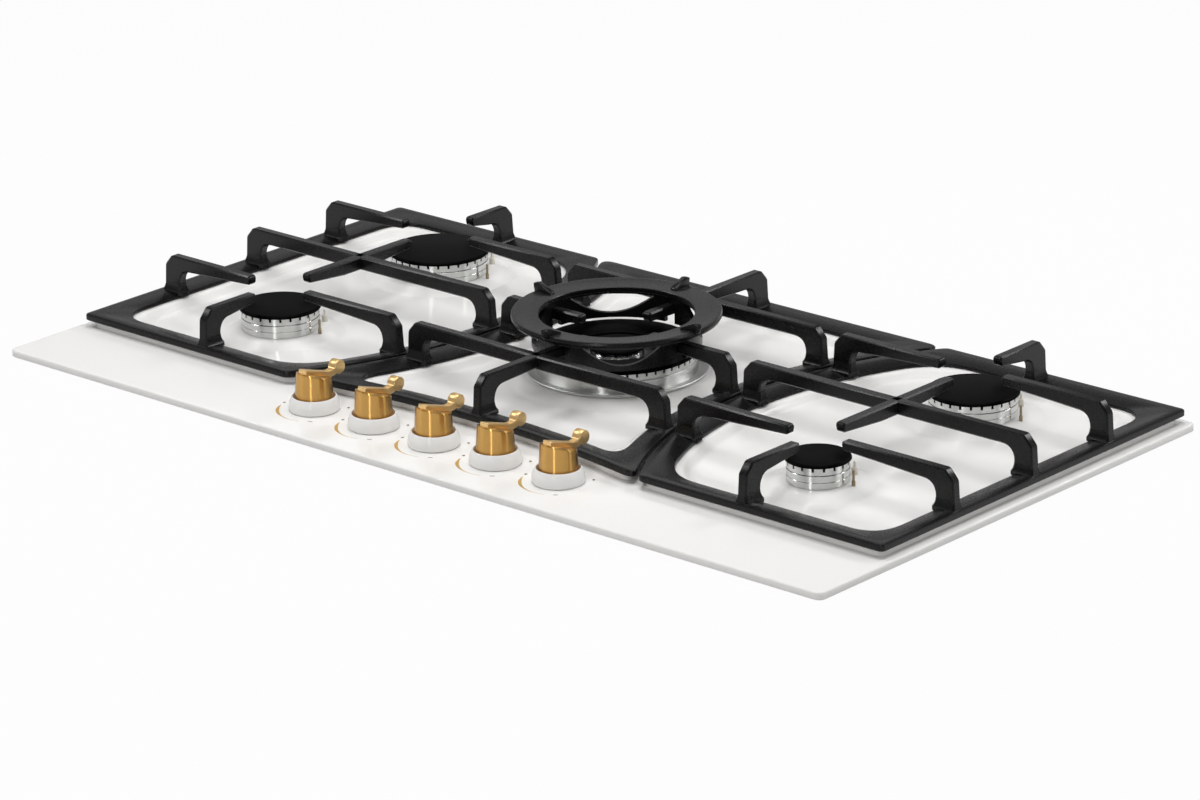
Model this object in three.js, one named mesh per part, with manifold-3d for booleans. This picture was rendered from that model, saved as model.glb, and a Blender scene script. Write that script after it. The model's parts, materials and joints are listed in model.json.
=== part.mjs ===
// Built-in gas cooktop, 900 mm wide: an enamelled steel plate with a row of five
// lever knobs at the front, four round burners, a double-ring wok burner in the
// middle, three cast grates whose seams follow a large arc, and a loose wok ring.
// The sheet-steel box below the plate holds the taps, their pipes and the ignition.
//
// X runs to the right, Y to the rear and Z up; lengths are in millimetres.
// The origin is the middle of the underside of the box.
import * as THREE from 'three';
import { mergeVertices } from 'three/addons/utils/BufferGeometryUtils.js';
import Module from 'manifold-3d';

const wasm = await Module();
wasm.setup();

// ---------------------------------------------------------------- dimensions
const FIT = 0.3;                 // clearance between parts that touch
const SLIDE_FIT = 0.5;           // clearance around parts that turn or slide

// Top plate and the box under it
const PLATE_W = 900;
const PLATE_D = 486;
const PLATE_EDGE = 6.3;          // height of the folded edge
const PLATE_SKIN = 1.5;
const PLATE_LIP = 2.5;           // thickness of the folded edge
const PLATE_CORNER = 7;
const BOX_W = 852;
const BOX_D = 438;
const BOX_WALL = 1.2;
const TOP = 52;                  // plate surface above the underside of the box
const SEAL_W = 12;
const SEAL_PROUD = 0.5;          // seal below the folded edge
const SEAT_Z = TOP - PLATE_EDGE - SEAL_PROUD;

// Grates
const GRATE_W = 886;             // over all three grates
const GRATE_D = 397;
const GRATE_REAR_GAP = 6;        // grate to the rear edge of the plate
const GRATE_REAR = PLATE_D / 2 - GRATE_REAR_GAP;
const GRATE_FRONT = GRATE_REAR - GRATE_D;
const GRATE_CY = (GRATE_FRONT + GRATE_REAR) / 2;
const SEAM_MID_X = 135.5;        // seam between two grates, half way back
const SEAM_END_X = 195;          // the same seam at the front and the rear
const SEAM_GAP = 3;
const FRONT_DIP = 20;            // the centre grate's front edge curves back here
const FRAME_W = 22;
const FRAME_T = 6;
const FRAME_TOP = TOP + 12;
const FRAME_EDGE = 0.8;
const FRAME_SLOPE = 8;           // width of the sloping inner part of the frame
const FRAME_SLOPE_DROP = 3;
const INNER_ROUND = 30;
const CENTRE_ROUND = 15;         // the pointed corners of the centre grate
const SIDE_ROUND = 4;
const FINGER_TOP = TOP + 44;
const FINGER_W = 9;
const FINGER_EDGE = 1.5;
const FINGER_DEPTH = 12;
const TIP_DEPTH = 8;
const LEG_W = 21;
const LEG_SET = 3;               // leg behind the outer edge of the frame
const LEG_CHAMFER = 9;
const LEG_FILLET = 13;

// The seam is part of a circle: its radius follows from chord and rise.
const SEAM_RISE = SEAM_END_X - SEAM_MID_X;
const SEAM_R = ((GRATE_D / 2) ** 2 + SEAM_RISE ** 2) / (2 * SEAM_RISE);
const SEAM_CX = SEAM_MID_X + SEAM_R;
const DIP_R = (SEAM_END_X ** 2 + FRONT_DIP ** 2) / (2 * FRONT_DIP);
const DIP_CY = GRATE_FRONT + FRONT_DIP - DIP_R;

// Relief pressed into the plate
const BEAD_H = FRAME_TOP - FRAME_T - FIT - TOP;
const BEAD_SET = 6.5;            // bead behind the outer edge of the grate
const BEAD_INNER = FRAME_W + 4;
const BEAD_SLOPE = 7;
const BOSS_H = 4;
const BOSS_SLOPE = 18;

// Burners: centre distances, and per burner the cap radius, the number of flame
// slots and the distance of the finger tips from its centre
const BURNER_X = 300;
const BURNER_PITCH_Y = 201;
const FRONT_Y = GRATE_CY - BURNER_PITCH_Y / 2;
const REAR_Y = GRATE_CY + BURNER_PITCH_Y / 2;
const BURNERS = [
  { name: 'front_left', x: -BURNER_X, y: FRONT_Y, capR: 35.5, slots: 24, tip: 32 },
  { name: 'rear_left', x: -BURNER_X, y: REAR_Y, capR: 45, slots: 30, tip: 39 },
  { name: 'rear_right', x: BURNER_X, y: REAR_Y, capR: 38.5, slots: 26, tip: 31 },
  { name: 'front_right', x: BURNER_X, y: FRONT_Y, capR: 27, slots: 18, tip: 27 },
];
const CUP_TOP = TOP + 15.5;
const CROWN_TOP = TOP + 22;
const CAP_T = 2.8;
const CAP_OVERHANG = 1.5;
const CAP_BEVEL = 1.4;
const CAP_PLUG = 1.5;            // rim that centres the cap in its crown
const CROWN_WALL = 4;
const CROWN_FLOOR = 1.6;
const CROWN_BORE = 12;
const SLOT_W = 2;
const SLOT_H = 3;
const NECK_DROP = 30;            // burner cup below the plate surface
const NECK_WALL = 5;

// Wok burner in the middle: outer ring, inner ring and the dished base
const WOK_CAP_R = 70;
const WOK_CAP_HOLE = 37;
const WOK_SLOTS = 52;
const WOK_INNER_R = 24.5;
const WOK_INNER_SLOTS = 14;
const WOK_INNER_RISE = 2;
const WOK_DISH_R = 78;
const WOK_DISH_T = 3;
const WOK_TIP = 37;

// Wok ring: flange, skirt, notches over the fingers, arched windows
const RING_OUTER = 89;
const RING_HOLE = 66;
const RING_SKIRT_R = 72;
const RING_SKIRT_T = 4;
const RING_TOP = TOP + 56.5;
const RING_T = 6;
const RING_BOTTOM = TOP + 27;
const RING_FINGER_FIT = 1;
const WINDOW_W = 62;
const WINDOW_H = 10;
const WINDOW_TOP = TOP + 46.5;
const FIN_T = 6;

// Knobs, collars and taps
const KNOB_PITCH = 68;
const KNOB_Y = -187;
const KNOB_TRAVEL = 3;
const KNOB_R = 16.4;
const KNOB_TOP_R = 14;
const KNOB_BASE = TOP + 4;
const KNOB_MID = TOP + 30;       // sloping top, at the axis
const KNOB_SLOPE = 17 * Math.PI / 180;
const LEVER_T = 11.4;            // width at its round end
const LEVER_TIP_T = 5.6;         // width at its front end
const LEVER_START = -13;
const LEVER_RISE = 4;
const LEVER_REACH = 29;
const LEVER_END_R = 5.9;
const LEVER_EDGE = 0.8;
const COLLAR_H = 12.5;
const COLLAR_R = 21.7;
const COLLAR_BORE = KNOB_R + 1.3;
const STEM_R = 4;
const STEM_FLAT = 2.8;           // flat of the stem, from its axis
const STEM_TOP = KNOB_BASE + 16;
const STEM_HOLE_R = 6;
const TAP_TOP = TOP - 14;
const TAP_W = 26;
const TAP_D = 24;
const TAP_H = 22;
const TAP_NECK_R = 7;
const TAP_NECK_H = 9;
const RAIL_R = 7;
const RAIL_Y = KNOB_Y + TAP_D / 2 + FIT + RAIL_R;
const RAIL_Z = TOP - 26;
const RAIL_END = 168;            // blind end of the rail
const FEED_X = 398;              // pipe from the rail to the inlet
const PIPE_R = 3;
const PIPE_Z = TOP - 40;
const INLET_R = 10.4;
const INLET_END = PLATE_D / 2 - 3;
const GLAND_X = -330;
const GLAND_R = 8;

// Spark plugs and thermocouples
const PIN_GAP = 4.5;             // pin axis outside the cap
const PLUG_R = 2.5;
const PLUG_TIP_R = 1;
const PLUG_TOP = TOP + 15;
const SENSOR_R = 1.8;
const SENSOR_TOP = TOP + 17;
const PIN_DROP = 20;
const PLUG_ANGLE = 62;
const SENSOR_ANGLE = 12;
const WOK_PLUG_ANGLE = -62;      // seen through the front window of the wok ring
const WOK_SENSOR_ANGLE = -46;
const WOK_PIN_RISE = 6;          // the pins of the wok burner are taller

// Clamps that hold the cooktop down on a worktop
const CLAMP_W = 24;
const CLAMP_T = 2;
const CLAMP_REACH = 16;
const CLAMP_X = 300;
const CLAMP_Z = SEAT_Z - 36;

// Facets around a circle, by size
const FINE = 30;
const ROUND = 20;
const SMALL = 12;
const TINY = 6;

// ------------------------------------------------------------------- helpers
const group = new THREE.Group();
group.name = 'gas_cooktop';

const FINISHES = {
  white: { color: '#eeeeec', roughness: 0.25, metalness: 0 },
  castIron: { color: '#1d1d1d', roughness: 0.55, metalness: 0 },
  capBlack: { color: '#0c0c0c', roughness: 0.45, metalness: 0 },
  aluminium: { color: '#c9cac8', roughness: 0.35, metalness: 0.9 },
  brass: { color: '#c58f3c', roughness: 0.3, metalness: 0.9 },
  rawBrass: { color: '#b08d4a', roughness: 0.45, metalness: 0.9 },
  zinc: { color: '#b4b6b5', roughness: 0.45, metalness: 0.8 },
  ceramic: { color: '#e9e4d8', roughness: 0.5, metalness: 0 },
  rubber: { color: '#2a2a2a', roughness: 0.9, metalness: 0 },
  plastic: { color: '#d8d6cc', roughness: 0.6, metalness: 0 },
};

function solid(geometry) {
  geometry.deleteAttribute('normal');
  geometry.deleteAttribute('uv');
  const merged = mergeVertices(geometry, 1e-4);
  return new wasm.Manifold(new wasm.Mesh({
    numProp: 3,
    vertProperties: new Float32Array(merged.attributes.position.array),
    triVerts: new Uint32Array(merged.index.array),
  }));
}

function addPart(name, body, finish) {
  const mesh = body.getMesh();
  const geometry = new THREE.BufferGeometry();
  geometry.setAttribute('position', new THREE.BufferAttribute(mesh.vertProperties, 3));
  geometry.setIndex(new THREE.BufferAttribute(mesh.triVerts, 1));
  geometry.computeVertexNormals();
  const part = new THREE.Mesh(geometry, new THREE.MeshStandardMaterial(FINISHES[finish]));
  part.name = name;
  group.add(part);
}

const degrees = (angle) => angle * Math.PI / 180;
const range = (count) => Array.from({ length: count }, (_, i) => i);

function box(x0, x1, y0, y1, z0, z1) {
  const geometry = new THREE.BoxGeometry(x1 - x0, y1 - y0, z1 - z0);
  return geometry.translate((x0 + x1) / 2, (y0 + y1) / 2, (z0 + z1) / 2);
}

// Cylinder on a vertical axis.
function post(radius, x, y, z0, z1, sides = SMALL) {
  const geometry = new THREE.CylinderGeometry(radius, radius, z1 - z0, sides);
  return geometry.rotateX(Math.PI / 2).translate(x, y, (z0 + z1) / 2);
}

// Cylinder between two points.
function rod(radius, from, to, sides = SMALL) {
  const a = new THREE.Vector3(...from);
  const b = new THREE.Vector3(...to);
  const axis = b.clone().sub(a);
  const geometry = new THREE.CylinderGeometry(radius, radius, axis.length(), sides);
  const turn = new THREE.Quaternion().setFromUnitVectors(
    new THREE.Vector3(0, 1, 0), axis.clone().normalize());
  return geometry.applyQuaternion(turn).translate(...a.add(b).multiplyScalar(0.5));
}

// Body of revolution around a vertical axis, from [radius, z] pairs.
function turned(profile, x, y, segments = ROUND) {
  const points = profile.map(([r, z]) => new THREE.Vector2(r, z));
  const closed = points[0].x > 0 && !points[0].equals(points.at(-1));
  if (closed) points.push(points[0].clone());
  const geometry = new THREE.LatheGeometry(points, segments);
  return geometry.rotateX(Math.PI / 2).translate(x, y, 0);
}

// Upright extrusion with both rims chamfered.
function slab(shape, z0, z1, chamfer = 0, curveSegments = 3) {
  const geometry = new THREE.ExtrudeGeometry(shape, {
    depth: z1 - z0 - 2 * chamfer,
    bevelEnabled: chamfer > 0,
    bevelThickness: chamfer,
    bevelSize: chamfer,
    bevelOffset: -chamfer,
    bevelSegments: 1,
    curveSegments,
  });
  return geometry.translate(0, 0, z0 + chamfer);
}

// Extrusion that starts at the outline and spreads outwards over `rise`.
function flared(shape, z0, rise, spread, above) {
  const geometry = new THREE.ExtrudeGeometry(shape, {
    depth: above,
    bevelEnabled: true,
    bevelThickness: rise,
    bevelSize: spread,
    bevelSegments: 1,
    curveSegments: 3,
  });
  return geometry.translate(0, 0, z0 + rise);
}

// Flat bar standing on edge: the shape is its side view (along, z), and it is
// laid from the point (x, y) in the direction `angle`.
function upright(shape, thickness, chamfer, x, y, angle) {
  const geometry = slab(shape, -thickness / 2, thickness / 2, chamfer, 2);
  return geometry.rotateX(Math.PI / 2).rotateZ(angle).translate(x, y, 0);
}

function roundedRect(width, depth, radius) {
  const x = width / 2;
  const y = depth / 2;
  const shape = new THREE.Shape();
  shape.moveTo(-x + radius, -y);
  shape.lineTo(x - radius, -y);
  shape.absarc(x - radius, -y + radius, radius, -Math.PI / 2, 0);
  shape.lineTo(x, y - radius);
  shape.absarc(x - radius, y - radius, radius, 0, Math.PI / 2);
  shape.lineTo(-x + radius, y);
  shape.absarc(-x + radius, y - radius, radius, Math.PI / 2, Math.PI);
  shape.lineTo(-x, -y + radius);
  shape.absarc(-x + radius, -y + radius, radius, Math.PI, Math.PI * 1.5);
  return shape;
}

// ------------------------------------------------------------ grate outlines
// A grate has a straight side or a seam on its left and on its right. A seam
// bulges towards the middle of the plate; `offset` makes its circle larger.
function seamX(y, offset) {
  return SEAM_CX - Math.sqrt((SEAM_R + offset) ** 2 - (y - GRATE_CY) ** 2);
}

function sideEdges(kind, inset) {
  const wall = GRATE_W / 2 - inset;
  const clear = SEAM_GAP / 2 + inset;
  return {
    left: [{ seam: 0, x: -wall }, { seam: -1, offset: -clear }],
    centre: [{ seam: -1, offset: clear }, { seam: 1, offset: clear }],
    right: [{ seam: 1, offset: -clear }, { seam: 0, x: wall }],
  }[kind];
}

const edgeX = (edge, y) => (edge.seam === 0 ? edge.x : edge.seam * seamX(y, edge.offset));

function followEdge(shape, edge, from, to) {
  if (edge.seam === 0) {
    shape.lineTo(edge.x, to);
    return;
  }
  const radius = SEAM_R + edge.offset;
  const centreX = edge.seam * SEAM_CX;
  const angleAt = (y) => Math.atan2(y - GRATE_CY, edgeX(edge, y) - centreX);
  shape.absarc(centreX, GRATE_CY, radius, angleAt(from), angleAt(to), edge.seam * (to - from) > 0);
}

// The front edge is straight, or part of a circle on the centre grate.
function frontY(kind, x, inset) {
  if (kind !== 'centre') return GRATE_FRONT + inset;
  return DIP_CY + Math.sqrt((DIP_R + inset) ** 2 - x ** 2);
}

// Outline of one grate, moved inwards by `inset`.
function grateOutline(kind, inset, seamRound, wallRound = seamRound) {
  const [left, right] = sideEdges(kind, inset);
  const rear = GRATE_REAR - inset;
  const cutL = left.seam === 0 ? wallRound : seamRound;
  const cutR = right.seam === 0 ? wallRound : seamRound;
  const front = frontY(kind, edgeX(right, GRATE_FRONT + inset), inset);
  const startX = edgeX(left, front) + cutL;
  const endX = edgeX(right, front) - cutR;
  const shape = new THREE.Shape();
  shape.moveTo(startX, frontY(kind, startX, inset));
  if (kind === 'centre') {
    const angleAt = (x) => Math.atan2(frontY(kind, x, inset) - DIP_CY, x);
    shape.absarc(0, DIP_CY, DIP_R + inset, angleAt(startX), angleAt(endX), true);
  } else {
    shape.lineTo(endX, front);
  }
  shape.quadraticCurveTo(edgeX(right, front), front, edgeX(right, front + cutR), front + cutR);
  followEdge(shape, right, front + cutR, rear - cutR);
  shape.quadraticCurveTo(edgeX(right, rear), rear, edgeX(right, rear) - cutR, rear);
  shape.lineTo(edgeX(left, rear) + cutL, rear);
  shape.quadraticCurveTo(edgeX(left, rear), rear, edgeX(left, rear - cutL), rear - cutL);
  followEdge(shape, left, rear - cutL, front + cutL);
  shape.quadraticCurveTo(edgeX(left, front), front, startX, frontY(kind, startX, inset));
  return shape;
}

const outerRound = { left: SIDE_ROUND, centre: CENTRE_ROUND, right: SIDE_ROUND };

// ------------------------------------------------------------- grate castings
// Side view of a support: a leg on the frame, a chamfered shoulder, the level
// bar, and either a rounded tip or a second leg at the far end.
function supportShape(length, endsInLeg) {
  const foot = FRAME_TOP - FRAME_T + FRAME_EDGE;
  const under = FINGER_TOP - FINGER_DEPTH;
  const inner = LEG_W - 1.5;
  const shape = new THREE.Shape();
  shape.moveTo(0, foot);
  shape.lineTo(2, FINGER_TOP - LEG_CHAMFER);
  shape.lineTo(2 + 0.9 * LEG_CHAMFER, FINGER_TOP);
  if (endsInLeg) {
    shape.lineTo(length - 2 - 0.9 * LEG_CHAMFER, FINGER_TOP);
    shape.lineTo(length - 2, FINGER_TOP - LEG_CHAMFER);
    shape.lineTo(length, foot);
    shape.lineTo(length - LEG_W - 2, foot);
    shape.lineTo(length - inner, foot + 9);
    shape.lineTo(length - inner, under - LEG_FILLET);
    shape.quadraticCurveTo(length - inner, under, length - inner - LEG_FILLET, under);
  } else {
    shape.lineTo(length - 3, FINGER_TOP);
    shape.quadraticCurveTo(length, FINGER_TOP, length, FINGER_TOP - 3.5);
    shape.lineTo(length - 1, FINGER_TOP - TIP_DEPTH);
  }
  shape.lineTo(inner + LEG_FILLET, under);
  shape.quadraticCurveTo(inner, under, inner, under - LEG_FILLET);
  shape.lineTo(inner, foot + 9);
  shape.lineTo(LEG_W + 2, foot);
  return shape;
}

// A level bar with a rounded tip at both ends.
function spar(length) {
  const half = length / 2;
  const shape = new THREE.Shape();
  shape.moveTo(-half + 3, FINGER_TOP);
  shape.lineTo(half - 3, FINGER_TOP);
  shape.quadraticCurveTo(half, FINGER_TOP, half, FINGER_TOP - 3.5);
  shape.lineTo(half - 1, FINGER_TOP - TIP_DEPTH);
  shape.lineTo(half * 0.3, FINGER_TOP - FINGER_DEPTH);
  shape.lineTo(-half * 0.3, FINGER_TOP - FINGER_DEPTH);
  shape.lineTo(-half + 1, FINGER_TOP - TIP_DEPTH);
  shape.lineTo(-half, FINGER_TOP - 3.5);
  shape.quadraticCurveTo(-half, FINGER_TOP, -half + 3, FINGER_TOP);
  return shape;
}

function support(from, to, endsInLeg = false) {
  const dx = to[0] - from[0];
  const dy = to[1] - from[1];
  const shape = supportShape(Math.hypot(dx, dy), endsInLeg);
  return solid(upright(shape, FINGER_W, FINGER_EDGE, from[0], from[1], Math.atan2(dy, dx)));
}

function grateFrame(kind) {
  const outline = grateOutline(kind, 0, outerRound[kind], SIDE_ROUND);
  const opening = grateOutline(kind, FRAME_W, INNER_ROUND);
  const slope = flared(opening, FRAME_TOP - FRAME_SLOPE_DROP, FRAME_SLOPE_DROP, FRAME_SLOPE, 5);
  return solid(slab(outline, FRAME_TOP - FRAME_T, FRAME_TOP, FRAME_EDGE))
    .subtract(solid(slab(opening, TOP, FRAME_TOP + 5)))
    .subtract(solid(slope));
}

// Feet of the supports, measured from the outer edges of the frame.
const footFront = GRATE_FRONT + LEG_SET;
const footRear = GRATE_REAR - LEG_SET;
const footWall = GRATE_W / 2 - LEG_SET;
const footSide = (y) => seamX(y, -SEAM_GAP / 2 - LEG_SET);
const footCentre = (y) => seamX(y, SEAM_GAP / 2 + LEG_SET);

// Side grate: a bar across the middle with a cross spar, and three fingers
// around each of its two burners.
function sideGrate(kind) {
  const side = kind === 'left' ? -1 : 1;
  const own = BURNERS.filter((burner) => Math.sign(burner.x) === side);
  const x = side * BURNER_X;
  let body = grateFrame(kind)
    .add(support([side * footSide(GRATE_CY), GRATE_CY], [side * footWall, GRATE_CY], true));
  for (const { y, tip } of own) {
    const edge = y < GRATE_CY ? footFront : footRear;
    const outward = Math.sign(edge - y);
    body = body
      .add(support([x, edge], [x, y + outward * tip]))
      .add(support([side * footWall, y], [x + side * tip, y]))
      .add(support([side * footSide(y), y], [x - side * tip, y]));
  }
  const front = own.find((burner) => burner.y < GRATE_CY);
  const rear = own.find((burner) => burner.y > GRATE_CY);
  const start = front.y + front.tip;
  const end = rear.y - rear.tip;
  const cross = upright(spar(end - start), FINGER_W, FINGER_EDGE, x, (start + end) / 2, Math.PI / 2);
  return body.add(solid(cross));
}

// Centre grate: two full bars in front of and behind the wok burner, and four
// long fingers that point at it.
function centreGrate() {
  let body = grateFrame('centre');
  for (const y of [FRONT_Y, REAR_Y]) {
    body = body.add(support([-footCentre(y), y], [footCentre(y), y], true));
  }
  for (const side of [-1, 1]) {
    const edge = side < 0 ? footFront + FRONT_DIP : footRear;
    body = body
      .add(support([0, edge], [0, GRATE_CY + side * WOK_TIP]))
      .add(support([side * footCentre(GRATE_CY), GRATE_CY], [side * WOK_TIP, GRATE_CY]));
  }
  return body;
}

// ------------------------------------------------------------------- top plate
function bead(kind) {
  const outer = grateOutline(kind, BEAD_SET, outerRound[kind], SIDE_ROUND);
  const inner = grateOutline(kind, BEAD_INNER + BEAD_SLOPE, INNER_ROUND);
  return solid(slab(outer, TOP - PLATE_SKIN, TOP + BEAD_H, PLATE_SKIN))
    .subtract(solid(flared(inner, TOP, BEAD_H, BEAD_SLOPE, 5)));
}

function boss(x, y, radius) {
  return solid(turned([
    [0, TOP - PLATE_SKIN],
    [radius + BOSS_SLOPE, TOP - PLATE_SKIN],
    [radius + BOSS_SLOPE, TOP],
    [radius, TOP + BOSS_H],
    [0, TOP + BOSS_H],
  ], x, y));
}

const knobXs = range(5).map((i) => (i - 2) * KNOB_PITCH);

// Where the spark plug and the thermocouple of a burner stand.
function pinSpots(x, y, distance, angles = [PLUG_ANGLE, SENSOR_ANGLE]) {
  return angles.map((angle) => [
    x + distance * Math.cos(degrees(angle)),
    y + distance * Math.sin(degrees(angle)),
  ]);
}
const PIN_RADII = [PLUG_R, SENSOR_R];
const WOK_PIN_R = (WOK_CAP_HOLE + WOK_INNER_R) / 2;
for (const burner of BURNERS) {
  burner.pins = pinSpots(burner.x, burner.y, burner.capR + PIN_GAP);
  burner.neckR = burner.capR * 0.55;
}
const wokPins = pinSpots(0, GRATE_CY, WOK_PIN_R, [WOK_PLUG_ANGLE, WOK_SENSOR_ANGLE]);
const WOK_NECK_R = 40;

function topPlate() {
  let plate = solid(slab(roundedRect(PLATE_W, PLATE_D, PLATE_CORNER), TOP - PLATE_EDGE, TOP, 0.8));
  for (const kind of ['left', 'centre', 'right']) plate = plate.add(bead(kind));
  plate = plate.add(boss(0, GRATE_CY, WOK_DISH_R + 2));
  for (const { x, y, capR } of BURNERS) plate = plate.add(boss(x, y, capR + 3));
  const hollow = roundedRect(PLATE_W - 2 * PLATE_LIP, PLATE_D - 2 * PLATE_LIP, PLATE_CORNER - PLATE_LIP);
  plate = plate.subtract(solid(slab(hollow, TOP - PLATE_EDGE - 5, TOP - PLATE_SKIN)));
  const drill = (radius, x, y, sides) => {
    plate = plate.subtract(solid(post(radius, x, y, TOP - PLATE_EDGE, TOP + BOSS_H + 5, sides)));
  };
  drill(WOK_NECK_R + SLIDE_FIT, 0, GRATE_CY, ROUND);
  for (const { x, y, neckR, pins } of BURNERS) {
    drill(neckR + SLIDE_FIT, x, y, ROUND);
    pins.forEach(([pinX, pinY], i) => drill(PIN_RADII[i] + SLIDE_FIT, pinX, pinY, TINY));
  }
  for (const x of knobXs) drill(STEM_HOLE_R, x, KNOB_Y, TINY);
  return plate;
}
addPart('top_plate', topPlate(), 'white');

// ------------------------------------------------------------- seal and box
const boxTop = TOP - PLATE_SKIN - FIT;
const sealOuterW = PLATE_W - 2 * (PLATE_LIP + FIT);
const sealOuterD = PLATE_D - 2 * (PLATE_LIP + FIT);
const sealRound = PLATE_CORNER - PLATE_LIP - FIT;
const seal = solid(slab(roundedRect(sealOuterW, sealOuterD, sealRound), SEAT_Z, boxTop))
  .subtract(solid(box(
    -sealOuterW / 2 + SEAL_W, sealOuterW / 2 - SEAL_W,
    -sealOuterD / 2 + SEAL_W, sealOuterD / 2 - SEAL_W, 0, TOP)));
addPart('seal_gasket', seal, 'rubber');

function bottomBox() {
  let body = solid(box(-BOX_W / 2, BOX_W / 2, -BOX_D / 2, BOX_D / 2, 0, boxTop))
    .subtract(solid(box(
      -BOX_W / 2 + BOX_WALL, BOX_W / 2 - BOX_WALL,
      -BOX_D / 2 + BOX_WALL, BOX_D / 2 - BOX_WALL, BOX_WALL, TOP)));
  const cut = (geometry) => {
    body = body.subtract(solid(geometry));
  };
  cut(rod(INLET_R + SLIDE_FIT, [FEED_X, 0, RAIL_Z], [FEED_X, BOX_D, RAIL_Z]));
  cut(rod(GLAND_R + SLIDE_FIT, [GLAND_X, 0, RAIL_Z], [GLAND_X, BOX_D, RAIL_Z]));
  // Cooling slots in the floor, two rows.
  for (const y of [-120, 175]) {
    for (const i of range(8)) {
      const x = (i - 3.5) * 90;
      cut(box(x - 22, x + 22, y - 3, y + 3, -1, BOX_WALL + 1));
    }
  }
  return body;
}
addPart('bottom_box', bottomBox(), 'zinc');

// ----------------------------------------------------------------- grates
addPart('grate_left', sideGrate('left'), 'castIron');
addPart('grate_centre', centreGrate(), 'castIron');
addPart('grate_right', sideGrate('right'), 'castIron');

// ----------------------------------------------------------------- wok ring
function wokRing() {
  const underside = RING_TOP - RING_T;
  let body = solid(turned([
    [RING_HOLE, underside],
    [RING_SKIRT_R - RING_SKIRT_T, underside - 1],
    [RING_SKIRT_R - RING_SKIRT_T, RING_BOTTOM],
    [RING_SKIRT_R, RING_BOTTOM],
    [RING_SKIRT_R, underside],
    [RING_OUTER - 2, underside],
    [RING_OUTER, RING_TOP - 4.5],
    [RING_OUTER, RING_TOP - 1.5],
    [RING_OUTER - 2.5, RING_TOP],
    [RING_OUTER - 5, RING_TOP - 0.8],
    [RING_HOLE, RING_TOP - 2],
  ], 0, GRATE_CY, FINE));
  const fin = new THREE.Shape();
  fin.moveTo(RING_SKIRT_R - 1, RING_TOP - 3);
  fin.lineTo(RING_SKIRT_R + 1, RING_TOP + 0.5);
  fin.lineTo(RING_OUTER - 2, RING_TOP + 6.5);
  fin.lineTo(RING_OUTER + 3, RING_TOP + 5.5);
  fin.lineTo(RING_OUTER + 2, RING_TOP - 2);
  fin.lineTo(RING_OUTER - 3, RING_TOP - 4);
  const arch = new THREE.Shape();
  arch.moveTo(-WINDOW_W / 2, WINDOW_TOP);
  arch.quadraticCurveTo(-WINDOW_W / 5, WINDOW_TOP - WINDOW_H, 0, WINDOW_TOP - WINDOW_H);
  arch.quadraticCurveTo(WINDOW_W / 5, WINDOW_TOP - WINDOW_H, WINDOW_W / 2, WINDOW_TOP);
  for (const turn of [0, 90, 180, 270]) {
    const angle = degrees(turn);
    body = body.add(solid(upright(fin, FIN_T, 1.2, 0, GRATE_CY, angle)));
    const half = FINGER_W / 2 + RING_FINGER_FIT;
    const notch = box(WOK_TIP, RING_SKIRT_R + 5, -half, half, RING_BOTTOM - 5, FINGER_TOP + FIT);
    body = body.subtract(solid(notch.rotateZ(angle).translate(0, GRATE_CY, 0)));
    const window = slab(arch, RING_SKIRT_R - 30, RING_SKIRT_R + 5)
      .rotateX(Math.PI / 2).rotateZ(angle + Math.PI / 4).translate(0, GRATE_CY, 0);
    body = body.subtract(solid(window));
  }
  return body;
}
addPart('wok_ring', wokRing(), 'castIron');

// ----------------------------------------------------------------- burners
function slotCuts(count, radius, top) {
  const cutter = (i) => box(-radius, radius, -SLOT_W / 2, SLOT_W / 2, top - SLOT_H, top + 5)
    .rotateZ(i * 2 * Math.PI / count);
  return range(count / 2).map((i) => solid(cutter(i)));
}

// Slotted ring of a burner head, standing on a thin floor.
function crownRing(radius, bore, floorZ, top, count, segments = ROUND) {
  let ring = solid(turned([
    [bore, floorZ],
    [radius, floorZ],
    [radius, top],
    [radius - CROWN_WALL, top],
    [radius - CROWN_WALL, floorZ + CROWN_FLOOR],
    [bore, floorZ + CROWN_FLOOR],
  ], 0, 0, segments));
  for (const cut of slotCuts(count, radius + 1, top)) ring = ring.subtract(cut);
  return ring;
}

function placed(body, x, y) {
  return body.translate([x, y, 0]);
}

// Lid of a burner: flat, bevelled, with a rim that centres it in the crown.
function cap(radius, top, x, y) {
  const plug = radius - CAP_OVERHANG - CROWN_WALL - SLIDE_FIT;
  return solid(turned([
    [0, top - CAP_PLUG],
    [plug, top - CAP_PLUG],
    [plug, top + FIT],
    [radius, top + FIT],
    [radius, top + FIT + CAP_T - CAP_BEVEL],
    [radius - CAP_BEVEL, top + FIT + CAP_T],
    [0, top + FIT + CAP_T],
  ], x, y));
}

for (const { name, x, y, capR, slots, neckR } of BURNERS) {
  const crownR = capR - CAP_OVERHANG;
  addPart(`burner_cup_${name}`, solid(turned([
    [0, TOP - NECK_DROP],
    [neckR, TOP - NECK_DROP],
    [neckR, TOP + BOSS_H + FIT],
    [crownR, TOP + BOSS_H + FIT],
    [crownR, CUP_TOP],
    [0, CUP_TOP],
  ], x, y)), 'aluminium');
  const crown = crownRing(crownR, neckR - NECK_WALL, CUP_TOP + FIT, CROWN_TOP, slots);
  addPart(`burner_crown_${name}`, placed(crown, x, y), 'aluminium');
  addPart(`burner_cap_${name}`, cap(capR, CROWN_TOP, x, y), 'capBlack');
}

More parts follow.
